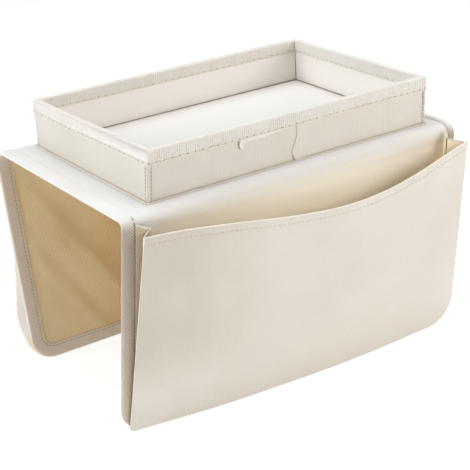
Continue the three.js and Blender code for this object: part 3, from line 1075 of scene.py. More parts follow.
    def layer(self, name: str, side: Side, outer: float, inner: float, under: float) -> Piece:
        """One layer of cloth, from the middle of the top panel to the flap's lower edge.

        Args:
            name: The piece's name.
            side: Side of the saddle.
            outer: w of its outer face on the flap.
            inner: w of its inner face there.
            under: How much deeper it lies under the top panel's board.

        Returns:
            The sheet.
        """
        x = edge_spread(self.half - self.cloth_inset, self.fine_border, border_steps=14, steps=90)[:, None]
        end = self.straight_end(side, x) - corner_cut(self.half - np.abs(x), self.flap_corner)
        on_top = np.linspace(-self.fold_y, 0, 19)[:-1]
        on_fold = np.linspace(0, self.bend, 17)[:-1]
        over = np.tile(np.concatenate([on_top, on_fold]), (len(x), 1))
        u = np.concatenate([over, lerp(self.bend, end, np.linspace(0, 1, 61))], axis=1)
        rise_end = self.sewn_x - self.gap
        rise = 1 - smooth(np.abs(x), rise_end - self.lining_rise_run, rise_end)
        w = self.slack(side, x, u) - under * rise * (1 - smooth(u, 0, 0.6 * self.bend))
        faces = [self.surface(side, x, u, face + w) for face in (outer, inner)]
        return sheet_object(name, *faces, grid(x, u))

    def outline(self, side: Side) -> tuple[Array, Array, Array]:
        """The bound edge, from the middle of one end of the top panel round the flap to the other.

        Args:
            side: Side of the saddle.

        Returns:
            Places (x, u) on the edge, the way in from each, and the distance along it.
        """
        radius = self.flap_corner
        angles = np.linspace(0, np.pi / 2, 13)
        runs = []
        for end in (-1.0, 1.0):
            x = end * (self.half - radius + radius * np.cos(angles))
            u = self.straight_end(side, x) - radius + radius * np.sin(angles)
            edge = grid(end * self.half, np.linspace(-self.fold_y, u[0], self.edge_steps)[:-1])
            inward = np.tile([-end, 0.0], (len(edge), 1))
            places = np.concatenate([edge, grid(x, u)])
            runs.append((places, np.concatenate([inward, grid(-end * np.cos(angles), -np.sin(angles))])))
        low_x = np.linspace(radius - self.half, self.half - radius, self.low_steps)[1:-1]
        low = grid(low_x, self.straight_end(side, low_x)), np.tile([0.0, -1.0], (len(low_x), 1))
        parts = zip(runs[0], low, runs[1])
        places, ways = (np.concatenate([left, foot, right[::-1]]) for left, foot, right in parts)
        return places, ways, run_length(places)

    def tape_section(self) -> tuple[Array, Array]:
        """Section of the folded tape: distance in from the cloth's edge and w, then the way round it.

        Returns:
            The section's points and the distance of each round it.
        """
        centre = self.stack / 2
        turn = np.linspace(np.pi / 2, 3 * np.pi / 2, 11)
        near = self.tape_inner - np.array([0.0, 0.8 * MM, self.stitch_inset])
        reach = np.concatenate([near, np.linspace(self.tape_inner - 4 * MM, centre + 0.5 * MM, 4)])
        crown = np.array([0.65, 0.8, self.stitch_stand / MM, 0.86, 0.95, 0.95, 0.9]) * MM

        def shell(depth: float) -> Array:
            """A line through the tape.

            Args:
                depth: How deep below its outer face.

            Returns:
                The line's points.
            """
            radius = centre + self.tape_build - depth
            arc = grid(centre + radius * np.cos(turn), radius * np.sin(turn) - centre)
            return np.concatenate(
                [grid(reach, crown - depth), arc, grid(reach, depth - self.stack - crown)[::-1]]
            )

        outer = shell(0.0)
        around = run_length(outer)
        return np.concatenate([outer, shell(self.tape)[::-1]]), np.concatenate([around, around[::-1]])

    def on_edge(self, side: Side, places: Array, ways: Array, reach: Number, w: Number) -> Array:
        """Points at a distance in from the bound edge, rolled further under at the right end.

        Args:
            side: Side of the saddle.
            places: Places (x, u) on the edge.
            ways: The way in from each place.
            reach: Distance in from the edge.
            w: Out from the outer face.

        Returns:
            The points, with one more axis of 3.
        """
        right = places[..., 0] * side.turn[0] > 0
        below = smooth(places[..., 1], 0.5 * self.bend, self.bend + self.narrow_run)
        narrow = self.tape_narrowing * right * (1 - below)
        reach = np.minimum(reach, self.tape_roll) + np.maximum(reach - self.tape_roll, 0) * (1 - narrow)
        x, u = np.moveaxis(places + ways * reach[..., None], -1, 0)
        return self.surface(side, x, u, w + self.slack(side, x, u))

    def binding(self, side: Side) -> Piece:
        """The folded tape round this side's edge.

        Args:
            side: Side of the saddle.

        Returns:
            The strip.
        """
        places, ways, along = self.outline(side)
        section, around = self.tape_section()
        reach, w = section.T
        pucker = 1 + self.tape_pucker * swing(along / self.stitch.pitch)[:, None] * (w > 0)
        rings = self.on_edge(side, places[:, None, :], ways[:, None, :], reach, w * pucker)
        return strip_object(f"{side.value}_edge_binding", rings, grid(along[:, None], around))

    def binding_stitches(self, side: Side) -> list[Piece]:
        """Stitches along the inner edge of the tape, outside and inside: dark as painted shade, and pale as
        painted light on top at the left end.

        Args:
            side: Side of the saddle.

        Returns:
            The dark row and the pale one.
        """
        places, ways, _ = self.outline(side)
        reach = self.tape_inner - self.stitch_inset
        on_top = (places[:, 0] * side.turn[0] < 0) & (places[:, 1] < 0.4 * self.bend)
        pieces = []
        for word, keep, thread in (("edge", ~on_top, "dark_thread"), ("end", on_top, "thread")):
            paths = []
            for w, out in ((self.stitch_stand, MM), (-self.stack - self.stitch_stand, -MM)):
                here, above = (self.on_edge(side, places[keep], ways[keep], reach, at) for at in (w, w + out))
                paths.append((here, unit(above - here), False))
            pieces.append(self.stitch.sew(f"{side.value}_{word}_stitches", paths, self.wardrobe[thread]))
        return pieces

    def build(self, side: Side) -> list[Piece]:
        """Makes one side of the saddle.

        Args:
            side: Side of the saddle.

        Returns:
            Its pieces.
        """
        name = side.value
        cloth = self.layer(f"{name}_saddle_cloth", side, 0.0, -self.cloth, 0.0)
        under = self.board + self.gap
        lining = self.layer(f"{name}_saddle_lining", side, -self.cloth - self.gap, -self.stack, under)
        binding, stitches = self.binding(side), self.binding_stitches(side)
        for piece, finish, slot in (
            (cloth, "saddle_cloth", "cloth"),
            (lining, "lining", "lining"),
            (binding, f"{name}_tape", "edge_tape"),
        ):
            dress(piece, self.wardrobe[finish])
        start, end = (tuple(self.surface(side, 0.0, u, 0.0)) for u in (0.0, self.bend))
        pieces = [cloth, lining, binding, *stitches]
        for piece in pieces:
            side.flap
            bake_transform(piece)
            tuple(start)
            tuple(end)
        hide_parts("top_outer_cloth", f"{name}_fold_cloth", f"{name}_flap_cloth")
        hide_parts("top_lining", f"{name}_flap_lining")
        tapes = [f"{name}_fold_tape_left", f"{name}_fold_tape_right", f"{name}_flap_tape"]
        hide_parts("top_edge_tape_left", "top_edge_tape_right", *tapes)
        drop = float(np.mean(self.straight_end(side, np.linspace(-self.half, self.half, 21)))) + self.fold_y
        return pieces


# Pockets


# Creases of a pocket panel: height, place across, drift on the way down and width of the upright ones, then
# height, place and width of the slanting ones
UPRIGHT_CREASES = (
    (0.5, 0.05, 0.02, 0.018),
    (0.8, 0.17, -0.02, 0.04),
    (-0.4, 0.24, 0.05, 0.03),
    (-0.4, 0.34, 0.0, 0.05),
)
SLANTING_CREASES = ((0.8, 1.18, 0.07), (-0.6, 1.36, 0.09))
# Broad folds of a pocket panel: height, turns across, turns down and start
BROAD_FOLDS = ((0.6, 1.15, -0.6, 0.4), (0.35, 2.3, 1.1, 0.0))


@dataclass
class Pocket:
    """A pocket on one flap: its panel, hem and two pleated gussets."""

    saddle: Saddle
    wardrobe: Wardrobe
    cloth: float = 0.8 * MM
    in_left: float = 12.3 * MM
    in_right: float = 1.5 * MM
    flare_left: float = 6.8 * MM
    flare_right: float = 5.5 * MM
    rise: float = 4 * MM
    sag: float = 20 * MM
    sag_place: float = 0.61
    sag_power: float = 1.2
    stand_left: float = 9.6 * MM
    stand_right: float = 16.5 * MM
    mouth_bulge: float = 8 * MM
    belly_left: float = 0.4 * MM
    belly_right: float = 2.6 * MM
    seam_return: float = 6 * MM
    raise_left: float = 2 * MM
    raise_run: tuple[float, float] = (0.04, 0.28)
    hem: float = 8 * MM
    hem_stitch: Stitch = Stitch(4.2 * MM, 2.6 * MM, 0.28 * MM)
    hem_stitch_inset: float = 1.5 * MM
    hem_stitch_sunk: float = 0.2 * MM
    hem_press: float = 0.25 * MM
    hem_press_width: float = 0.9 * MM
    corner_left: float = 5 * MM
    corner_right: float = 23 * MM
    press_in: float = 2.5
    fold_depth: float = 1.4 * MM
    folds_across: float = 1.6
    folds_down: float = 0.7
    crease_slant: float = 1.9
    slant_down: tuple[float, float] = (0.55, 0.85)
    slant_across: tuple[float, float] = (0.3, 0.5)
    crease_weight: float = 1.6
    broad_weight: float = 1.3
    fine_weight: float = 0.1
    hollow: float = 8 * MM
    hollow_across: tuple[float, float] = (0.085, 0.06)
    hollow_down: tuple[float, float] = (0.5, 0.28)
    least_room: float = 0.1 * MM
    closes: float = 2.5
    spare: float = 1.8 * MM
    pleat_left: float = 8.3 * MM
    pleat_right: float = 3.8 * MM
    gusset_rise: float = 8 * MM
    gusset_cloth: float = 0.6 * MM
    gusset_bow: float = 0.7 * MM
    gusset_hem: tuple[float, float] = (6.5 * MM, 7 * MM)
    gusset_hem_swell: float = 0.7
    sewn_over: float = 1.3 * MM
    sewn_stand: float = 1.4 * MM
    least_flat: float = 10 * MM

    def __post_init__(self) -> None:
        """Works out the pocket's places on its flap."""
        edge = self.saddle.half + self.saddle.tape_build
        self.left = edge - self.in_left
        self.right = edge - self.in_right
        self.seam_stand = self.saddle.tape_build + self.saddle.gap
        self.belly_stand = self.seam_stand + self.gusset_cloth + 2 * self.saddle.gap
        self.hem_line = self.hem - self.hem_stitch_inset
        self.sewn = self.saddle.sewn_x + self.sewn_over

    def panel_x(self, s: Number, q: Number) -> Number:
        """Place along the flap at share s of the panel's width and share q down it."""
        return lerp(-self.left - self.flare_left * q, self.right + self.flare_right * q, s)

    def mouth(self, s: Number) -> Array:
        """Distance v of the mouth below the end of the fold.

        Args:
            s: Share of the panel's width from its left.

        Returns:
            The distance, which is negative above the end of the fold.
        """
        skew = math.log(0.5) / math.log(self.sag_place)
        arch = np.clip(np.sin(np.pi * np.asarray(s, float) ** skew), 0, 1)
        return self.sag * arch**self.sag_power - self.rise

    def lift(self, s: Number) -> Array:
        """How far the rounded corners lift the panel's bottom.

        Args:
            s: Share of the panel's width from its left.

        Returns:
            The lift.
        """
        x = self.panel_x(s, 1.0)
        from_left, from_right = x - self.panel_x(0.0, 1.0), self.panel_x(1.0, 1.0) - x
        return corner_cut(from_left, self.corner_left) + corner_cut(from_right, self.corner_right)

    def bottom(self, side: Side, s: Number) -> Array:
        """Distance v of the panel's bottom.

        Args:
            side: Side of the saddle.
            s: Share of the panel's width from its left.

        Returns:
            The distance.
        """
        x = self.panel_x(s, 1.0)
        reach = self.saddle.run_to_floor(side, x, self.seam_stand + self.cloth)
        drawn_up = self.raise_left * (1 - smooth(s, *self.raise_run))
        return reach - self.saddle.raised(side, x) - drawn_up - self.lift(s)

    def share(self, side: Side, s: Number, v: Number) -> Array:
        """Share of the way from the mouth to where the panel turns in to its seam."""
        top = self.mouth(s)
        return np.minimum((v - top) / (self.bottom(side, s) - self.seam_return - top), 1)

    def stand(self, side: Side, s: Number, v: Number) -> Array:
        """How far the panel's inner face stands off the flap, before its creases.

        Args:
            side: Side of the saddle.
            s: Share of the panel's width from its left.
            v: Down the flap from the end of the fold.

        Returns:
            The distance off the flap.
        """
        mouth = lerp(self.stand_left, self.stand_right, s) + self.mouth_bulge * np.sin(np.pi * s)
        belly = self.belly_stand + lerp(self.belly_left, self.belly_right, s)
        seam = self.seam_stand + self.lift(s) * math.tan(math.radians(self.press_in))
        low = self.bottom(side, s) - self.seam_return
        q = self.share(side, s, v)
        slack = self.fold_depth * np.sin(np.pi * s) * np.sin(np.pi * q)
        body = belly + (mouth - belly) * (1 - q) + slack * swing(self.folds_across * s + self.folds_down * q)
        turn = np.clip((v - low) / self.seam_return, 0, 1)
        return seam + (body - seam) * np.sqrt(1 - turn * turn)

    def creases(self, s: Array, q: Array) -> Array:
        """Fine relief of the hanging cloth: soft upright folds at its left and slanting ones below.

        Args:
            s: Share of the panel's width from its left.
            q: Share of the way from mouth to seam.

        Returns:
            The relief, positive outward.
        """
        hold = np.sin(np.pi * np.clip(s, 0, 1)) ** 0.5 * np.sin(np.pi * np.clip(q, 0, 1)) ** 0.5
        upright = sum(high * ridge(s, at + drift * q, wide) for high, at, drift, wide in UPRIGHT_CREASES)
        slanted = q + self.crease_slant * s
        slant = sum(high * ridge(slanted, at, wide) for high, at, wide in SLANTING_CREASES)
        slant = slant * smooth(q, *self.slant_down) * (1 - smooth(s, *self.slant_across))
        broad = sum(high * swing(across * s + down * q, at) for high, across, down, at in BROAD_FOLDS)
        fine = self.fine_weight * swing(7.3 * s + 3.1 * q) * swing(4.1 * s - 5.3 * q)
        deep = self.crease_weight
        return MM * hold * (upright * deep + slant * deep + broad * self.broad_weight + fine)

    def face(self, side: Side, s: Array, v: Array) -> Array:
        """How far the panel's inner face stands off the flap, with its creases and the hollow at its left.

        Args:
            side: Side of the saddle.
            s: Share of the panel's width from its left.
            v: Down the flap from the end of the fold.

        Returns:
            The distance off the flap.
        """
        q = self.share(side, s, v)
        stand = self.stand(side, s, v)
        closed = self.seam_stand + (self.bottom(side, s) - v) * math.tan(math.radians(self.closes))
        room = np.maximum(stand - closed - self.spare, self.least_room)
        hollow = self.hollow * ridge(s, *self.hollow_across) * ridge(q, *self.hollow_down)
        return stand + self.creases(s, q) - room * np.tanh(hollow / room)

    def panel(self, side: Side) -> Piece:
        """The pocket's panel, with a rounded doubled hem at its mouth.

        Args:
            side: Side of the saddle.

        Returns:
            The sheet.
        """
        s = (edge_spread(0.5, 0.08, border_steps=12, steps=110) + 0.5)[:, None]
        top, low = self.mouth(s), self.bottom(side, s) - self.seam_return
        edge = np.linspace(0, np.pi / 2, 5)
        hem_rows = np.concatenate([self.cloth * (1 - np.cos(edge)), np.linspace(2 * MM, self.hem, 7)])
        body = lerp(top + self.hem + 0.6 * MM, low, np.linspace(0, 1, 80))
        turn = low + self.seam_return * np.sin(QUARTER_TURN)[1:]
        v = np.concatenate([top + hem_rows, body, turn], axis=1)
        doubled = self.cloth * (np.arange(v.shape[1]) < len(hem_rows))
        swell = np.concatenate([np.sin(edge), np.ones(v.shape[1] - len(edge))])
        pressed = self.hem_press * ridge(v - top, self.hem_line, self.hem_press_width)
        middle = self.face(side, s, v) + (self.cloth - doubled) / 2
        thick = (self.cloth + doubled) / 2 * swell
        x = self.panel_x(s, self.share(side, s, v))
        faces = [self.saddle.plane(side, x, v, w) for w in (middle + thick - pressed, middle - thick)]
        panel = sheet_object(f"{side.value}_pocket_cloth", *faces, grid(x, v))
        front = ("pocket_front", "pocket_inside", "thread")
        # Painted light: the rear panel's inside and rim take the glowing copies of the reverse.
        finishes = front if side is Side.FRONT else ("cloth", "backlit", "lit_gusset")
        ground, reverse, rim = range(len(finishes))
        dress(panel, *(self.wardrobe[finish] for finish in finishes))
        picked = np.full((2, v.shape[0] - 1, v.shape[1] - 1), ground, np.int32)
        picked[1, :, len(hem_rows) :] = reverse
        picked[:, :, : len(edge) - 1] = rim
        dress_faces(panel, picked, rim)
        return panel

    def hem_stitches(self, side: Side) -> Piece:
        """The stitches that hold the hem.

        Args:
            side: Side of the saddle.

        Returns:
            The stitches.
        """
        s = np.linspace(0.012, 0.988, 160)
        v = self.mouth(s) + self.hem_line
        w = self.face(side, s, v) + self.cloth - self.hem_stitch_sunk
        x = self.panel_x(s, self.share(side, s, v))
        here, above = (self.saddle.plane(side, x, v, at) for at in (w, w + MM))
        path = (here, unit(above - here), False)
        return self.hem_stitch.sew(f"{side.value}_hem_stitches", [path], self.wardrobe["hem_thread"])

    def crease(self, end: End) -> float:
        """Distance of a gusset's crease from the flap's middle."""
        pleat = self.pleat_left if end is End.LEFT else self.pleat_right
        return self.saddle.sewn_x - self.saddle.gap - pleat

    def leaf(self, side: Side, end: End, outer_leaf: bool) -> tuple[Piece, tuple[float, float]]:
        """One leaf of a gusset's pleat.

        Args:
            side: Side of the saddle.
            end: End of the pocket.
            outer_leaf: Whether it runs from the crease to the panel, or from the flap to the crease.

        Returns:
            The sheet, and the mean width and length that it was cut to.
        """
        s, saddle, crease = end.share, self.saddle, self.crease(end)
        corner_top = self.mouth(s) + self.cloth
        tape_foot = saddle.run_to_floor(side, end.value * self.sewn, saddle.tape_build) - saddle.flap_rise
        tape_foot = tape_foot - saddle.tape_build - saddle.flap_corner
        foot = min(float(tape_foot), float(self.bottom(side, s))) - saddle.gap
        t = np.concatenate([[0.0], np.linspace(0.008, 1, 40)])[None, :]
        k = np.linspace(0, 1, 13)[:, None]
        level = lerp(corner_top, foot, t)
        edge = np.abs(self.panel_x(s, self.share(side, s, level))) - self.cloth
        reach = self.stand(side, s, level) - 2 * saddle.gap - self.cloth * (1 - smooth(t, 0, 0.08))
        bow = self.gusset_bow * np.sin(np.pi * k) * (1 - t)
        if outer_leaf:
            across, x, bow = lerp(0.5, 1.0, k), lerp(crease, edge, k), -bow
        else:
            across, x = lerp(0.0, 0.5, k), lerp(self.sewn, crease, k)
        leaf_top = lerp(corner_top - self.gusset_rise, corner_top, across)
        v = lerp(leaf_top, foot, t)
        w = self.sewn_stand + across * (reach - self.sewn_stand) + bow
        hem = 1 + self.gusset_hem_swell * (1 - smooth(v - leaf_top, *self.gusset_hem))
        half_cloth = self.gusset_cloth / 2 * hem
        faces = [saddle.plane(side, end.value * x, v, at) for at in (w + half_cloth, w - half_cloth)]
        word = "outer" if outer_leaf else "inner"
        piece = sheet_object(f"{side.value}_gusset_{end.word}_{word}_leaf", *faces, grid(x, v))
        # Painted light and shade: the front left gusset takes a darker copy of the reverse, the front right a
        # glowing copy, and the rear ones the paler tray lining cloth.
        front = "gusset" if end is End.LEFT else "lit_gusset"
        ground = front if side is Side.FRONT else "tray_inside"
        dress(piece, self.wardrobe[ground], self.wardrobe["cloth"])
        picked = np.zeros((2, k.size - 1, t.size - 1), np.int32)
        picked[:, :, 0] = 1
        dress_faces(piece, picked, rim=1)
        middle = (faces[0] + faces[1]) / 2
        width = float(np.mean([run_length(row)[-1] for row in middle.transpose(1, 0, 2)]))
        length = float(np.mean([run_length(column)[-1] for column in middle]))
        return piece, (width, length)

    def build(self, side: Side) -> list[Piece]:
        """Makes one pocket, and joins its panel and hem stitches to the pocket's body.

        Args:
            side: Side of the saddle.

        Returns:
            Its pieces.
        """
        name = side.value
        panel, stitches = self.panel(side), self.hem_stitches(side)
        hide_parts(f"{name}_pocket_panel")
        for piece in (panel, stitches):
            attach(piece, side.pocket)
        width = float(self.panel_x(1.0, 0.5) - self.panel_x(0.0, 0.5))
        shares = np.linspace(0, 1, 21)
        flat = (width, float(np.mean(self.bottom(side, shares) - self.mouth(shares))) + self.hem)
        pieces = [panel, stitches]
        for end in End:
            crease, edge = self.crease(end), abs(float(self.panel_x(end.share, 0.0)))
            spans = {False: (self.sewn, 2 * crease - self.sewn), True: (2 * crease - edge, edge)}
            for outer_leaf, span in spans.items():
                piece, (width, length) = self.leaf(side, end, outer_leaf)
                spots = [self.saddle.plane(side, end.value * x, 0.0, 0.0) * [1, 0, 0] for x in span]
                side.flap
                side.pocket
                tuple(spots[0])
                tuple(spots[1])
                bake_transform(piece)
                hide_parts(f"{name}_gusset_{end.word}")
                flat = (max(width, self.least_flat), length)
                pieces.append(piece)
        return pieces


# Tray


# The lapped end of the wall band: its sway in millimetres at shares of the wall's height
LAP_SHARES = (0, 0.12, 0.23, 0.38, 0.53, 0.75, 1)
LAP_SWAY = (1, -1, -2.2, 0.5, 3, 2.6, 2)
# Section of the foot seam: shares of its width, and millimetres above the wall's foot
FOOT_SECTION = ((-0.2, -0.25), (0.85, -0.25), (1, 0.05), (0.95, 0.35), (0.75, 0.5), (0.3, 0.5), (-0.2, 0.5))
# Edge of the floor panel: millimetres in from its side, and shares of its thickness
FLOOR_EDGE = ((0.0, 0.0), (0.0, 0.45), (0.12, 0.75), (0.35, 0.93), (0.8, 1.0))


@dataclass
class Tray:
    """The stiffened tray on top: wall band, lining, bound rim and loose floor panel."""

    wardrobe: Wardrobe
    cloth: float = 0.6 * MM
    tape: float = 0.6 * MM
    gap: float = 0.3 * MM
    board: float = 2 * MM
    board_clear: float = 0.4 * MM
    corner: float = 1.6 * MM
    rim_reach: float = 11 * MM
    lap: float = 12 * MM
    rim_out: float = 0.55 * MM
    rim_round: float = 2 * MM
    rim_pinch: float = 0.35 * MM
    rim_pinch_rise: float = 1.6 * MM
    rim_pinch_width: float = 0.8 * MM
    rim_rows: tuple[float, float, float] = (0.7 * MM, 1.5 * MM, 2.3 * MM)
    rib: float = 0.6 * MM
    rib_proud: float = 0.42 * MM
    rib_pitch: float = 1.9 * MM
    rib_stops: float = 3.4 * MM
    tail: float = 50.5 * MM
    tail_drop: float = 2.2 * MM
    drop_run: tuple[float, float] = (0.0, 0.7)
    tail_tip: float = 4.5 * MM
    tip_run: tuple[float, float] = (0.86, 0.97)
    tail_edge: float = 0.4 * MM
    tail_notch: float = 1.6 * MM
    notch_run: tuple[float, float] = (0.9, 1.0)
    tail_curl: float = 0.7 * MM
    curl_run: tuple[float, float] = (0.93, 1.0)
    tail_stand: float = 0.25 * MM
    tail_lean: float = 0.3 * MM
    tail_thick: float = 0.4 * MM
    lap_curl: float = 0.5 * MM
    lap_curl_at: tuple[float, float] = (0.06, 0.12)
    lap_under_rim: float = 2 * MM
    lap_proud: float = 0.02 * MM
    lap_sunk: float = 0.3 * MM
    wall_wave: float = 0.35 * MM
    wave_pitch: float = 83 * MM
    ripple_pitch: float = 47 * MM
    foot_tuck: float = 0.25 * MM
    tuck_height: float = 1.2 * MM
    left_shift: tuple[float, float] = (1.2 * MM, 4.4 * MM)
    right_shift: tuple[float, float] = (1.1 * MM, 2.8 * MM)
    shift_from: float = 0.45
    shift_back: tuple[float, float] = (-0.7, -0.2)
    seam_width: float = 2.7 * MM
    seam_sway: float = 0.9 * MM
    seam_marks: float = 3.2 * MM
    floor_corner: float = 3 * MM
    floor_crown: float = 0.5 * MM
    floor_ripple: float = 0.15 * MM
    row_spacing: float = 4 * MM
    corner_stitch: Stitch = Stitch(2.4 * MM, 2.9 * MM, 0.32 * MM)
    # Painted shade: dark dashes beside the corner seams.
    corner_mark: Stitch = Stitch(2.6 * MM, 1.9 * MM, 0.24 * MM)
    inner_stitch: Stitch = Stitch(2.6 * MM, 3.2 * MM, 0.34 * MM, wobble=0.03)
    foot_stitch: Stitch = Stitch(3.6 * MM, 3.9 * MM, 0.26 * MM, wobble=0.02)
    rim_stitch: Stitch = Stitch(3.3 * MM, 2.9 * MM, 0.38 * MM, wobble=0.2)
    # Painted shade: dark dashes between the rim's stitch rows.
    rim_dip: Stitch = Stitch(6.6 * MM, 1.2 * MM, 0.24 * MM, wobble=0.5)

    def __post_init__(self) -> None:
        """Takes the tray's main places from the frame."""
        low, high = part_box("tray_outer_band")
        self.centre = (low.x + high.x) / 2
        self.half_x = (high.x - low.x) / 2
        self.half_y = high.y
        self.foot = low.z
        self.wall_top = high.z
        self.rim_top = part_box("tray_rim_tape")[1].z
        self.rim_low = self.rim_top - self.rim_reach
        self.stack = 2 * self.cloth + 2 * self.gap + self.board
        self.tape_build = self.tape + self.gap

    def loop(
        self, inset: float, corner: float | None = None, spacing: float = 2.5 * MM
    ) -> tuple[Array, Array]:
        """A rounded rectangle round the tray.

        Args:
            inset: How far inside the wall's outer face it runs.
            corner: Its corner radius, or None for the wall's own.
            spacing: Distance between points on its straight runs.

        Returns:
            Points and outward directions, both with X and Y.
        """
        reach = np.array([self.half_x, self.half_y]) - inset
        radius = max(self.corner - inset, self.cloth) if corner is None else corner
        arcs = []
        for quarter, signs in enumerate(((1, 1), (-1, 1), (-1, -1), (1, -1))):
            turn = QUARTER_TURN + quarter * np.pi / 2
            way = grid(np.cos(turn), np.sin(turn))
            arcs.append((np.array(signs) * (reach - radius) + radius * way, way))
        points, ways = [], []
        for quarter, (arc, way) in enumerate(arcs):
            run = 2 * (self.half_y if quarter % 2 else self.half_x)
            shares = np.linspace(0, 1, int(run / spacing) + 1)[1:-1, None]
            points += [arc, lerp(arc[-1], arcs[(quarter + 1) % 4][0][0], shares)]
            ways += [way, np.tile(way[-1], (len(shares), 1))]
        return np.concatenate(points) + [self.centre, 0], np.concatenate(ways)

    def settle(self, points: Array) -> Array:
        """Carries points of the true tray to the worn one, whose front corners have shifted along the arm.

        Args:
            points: Points of the tray, with X, Y and Z last.

        Returns:
            The same points, shifted.
        """
        x, y, z = points[..., 0] - self.centre, points[..., 1], points[..., 2]
        high = np.clip((z - self.foot) / (self.rim_top - self.foot), 0, 1)
        start = self.shift_from * self.half_x
        left_back, right_back = (share * self.half_y for share in self.shift_back)
        left = smooth(-x, start, self.half_x) * smooth(-y, left_back, self.half_y)
        right = smooth(x, start, self.half_x) * smooth(-y, right_back, self.half_y)
        shift = left * lerp(*self.left_shift, high) + right * lerp(*self.right_shift, high)
        return np.concatenate([points[..., :1] + shift[..., None], points[..., 1:]], -1)

    def row(self, inset: float, z: float, corner: float | None = None, sign: float = 1.0) -> Path:
        """A level row round the tray.

        Args:
            inset: How far inside the wall's outer face it runs.
            z: Its height.
            corner: Its corner radius, or None for the wall's own.
            sign: 1 to face outward, or -1 to face inward.

        Returns:
            Points, the directions that they face, and that it closes.
        """
        points, ways = self.loop(inset, corner, self.row_spacing)
        return self.settle(at_height(points, z)), at_height(sign * ways, 0.0), True

    def upright(self, plan: Array, z: Array, way: Array) -> Path:
        """A row up a corner, at a place of the plan or at one for each height, facing a way of the plan."""
        points = np.column_stack([np.broadcast_to(plan, (len(z), 2)), z])
        return self.settle(points), np.tile(np.append(way, 0.0), (len(z), 1)), False

    def corner_at(self, signs: Array, inset: float = 0.0) -> Array:
        """Place of a corner in the plan."""
        return np.array([self.centre, 0.0]) + signs * (np.array([self.half_x, self.half_y]) - inset)

    def stiffener(self, name: str, along: int, side: int) -> Piece:
        """The board inside one wall, which follows the wall's shift.

        Args:
            name: Name of the wall.
            along: Axis that the wall runs along, 0 for X and 1 for Y.
            side: Which of the two such walls, -1 or 1.

        Returns:
            The board.
        """
        low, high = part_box(f"tray_board_{name}")
        run = np.linspace(low[along], high[along], 41)[:, None]
        rise = np.linspace(low.z, high.z - self.board_clear, 13)[None, :]
        depths = (high[1 - along], low[1 - along])[::side]
        plans = [(depth, run) if along else (run, depth) for depth in depths]
        faces = [self.settle(grid(x, y, rise)) for x, y in plans]
        board = sheet_object(f"tray_stiffener_{name}", *faces, grid(run, rise))
        dress(board, self.wardrobe["board"])
        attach(board, "saddle")
        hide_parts(f"tray_board_{name}")
        return board

    def wave(self, points: Array, z: Array) -> Array:
        """How far the sewn wall wavers outward.

        Args:
            points: Points of the plan.
            z: Their heights.

        Returns:
            The waver, positive outward.
        """
        share = np.clip((z - self.foot) / (self.wall_top - self.foot), 0, 1)
        along = points[..., 0] + points[..., 1] * 0.8
        sway = swing(along / self.wave_pitch) + 0.6 * swing(along / self.ripple_pitch, 1.3)
        return self.wall_wave * sway * np.sin(np.pi * share)

    def tuck(self, z: Array) -> Array:
        """How far the wall band is tucked in at its foot."""
        return self.foot_tuck * ridge(z, self.foot, self.tuck_height)

    def ring(self, name: str, section: Array, inset: float = 0.0, waver: bool = False) -> Piece:
        """A closed section carried round the tray.

        Args:
            name: The piece's name.
            section: Points as distance out from the path and height.
            inset: How far inside the wall's outer face the path runs.
            waver: Whether the wall's waver is added.

        Returns:
            The strip.
        """
        points, ways = self.loop(inset)
        out, z = (np.broadcast_to(part, (len(points), len(section))) for part in section.T)
        if waver:
            out = out + self.wave(points[:, None, :], z)
        flat = points[:, None, :] + ways[:, None, :] * out[..., None]
        rings = self.settle(np.concatenate([flat, z[..., None]], -1))
        return strip_object(name, rings, grid(run_length(points)[:, None], run_length(section)), loop=True)

    def band(self) -> Piece:
        """The wall's outer cloth, tucked in at its foot.

        Returns:
            The strip.
        """
        z = np.concatenate([np.linspace(0, 4 * MM, 9), np.linspace(5.5 * MM, self.wall_top - self.foot, 17)])
        z = z + self.foot
        section = np.concatenate([grid(-self.tuck(z), z), grid(-self.cloth, z)[::-1]])
        return self.ring("tray_wall_band", section, waver=True)

    def inside(self) -> Piece:
        """The wall's lining.

        Returns:
            The strip.
        """
        z = np.linspace(self.foot, self.wall_top, 15)
        section = np.concatenate([grid(0.0, z), grid(-self.cloth, z)[::-1]])
        return self.ring("tray_wall_inside", section, inset=self.stack - self.cloth)

    def foot_seam(self) -> Piece:
        """The sewn-down cloth edge that lies on the top panel round the wall's foot."""
        section = np.array([(out * self.seam_width, self.foot + up * MM) for out, up in FOOT_SECTION])
        return self.ring("tray_foot_seam", section)

    def corner_seams(self) -> list[Piece]:
        """The crossing thread that closes the wall's upright corners, and dark dashes of painted shade beside
        it.

        Returns:
            The seams and the painted shade dashes.
        """
        z = np.linspace(self.foot + 0.5 * MM, self.rim_low, 25)
        inset = self.corner * (1 - DIAGONAL)
        sway = self.seam_sway * np.sin(np.pi * np.arange(len(z)) / 4)
        pale, dark = [], []
        for signs in PLAN_CORNERS:
            way = signs * DIAGONAL
            along = np.array([-way[1], way[0]])
            for sign in (-1, 1):
                aside = np.outer(sign * sway, along) - 0.4 * np.outer(np.abs(sway), way)
                pale.append(self.upright(self.corner_at(signs, inset) + aside, z, way))
            for back in np.eye(2):
                spot = self.corner_at(signs) - signs * back * self.seam_marks
                dark.append(self.upright(spot, z, signs * (1 - back)))
        return [
            self.corner_stitch.sew("tray_corner_seams", pale, self.wardrobe["thread"]),
            self.corner_mark.sew("tray_corner_marks", dark, self.wardrobe["dark_thread"]),
        ]

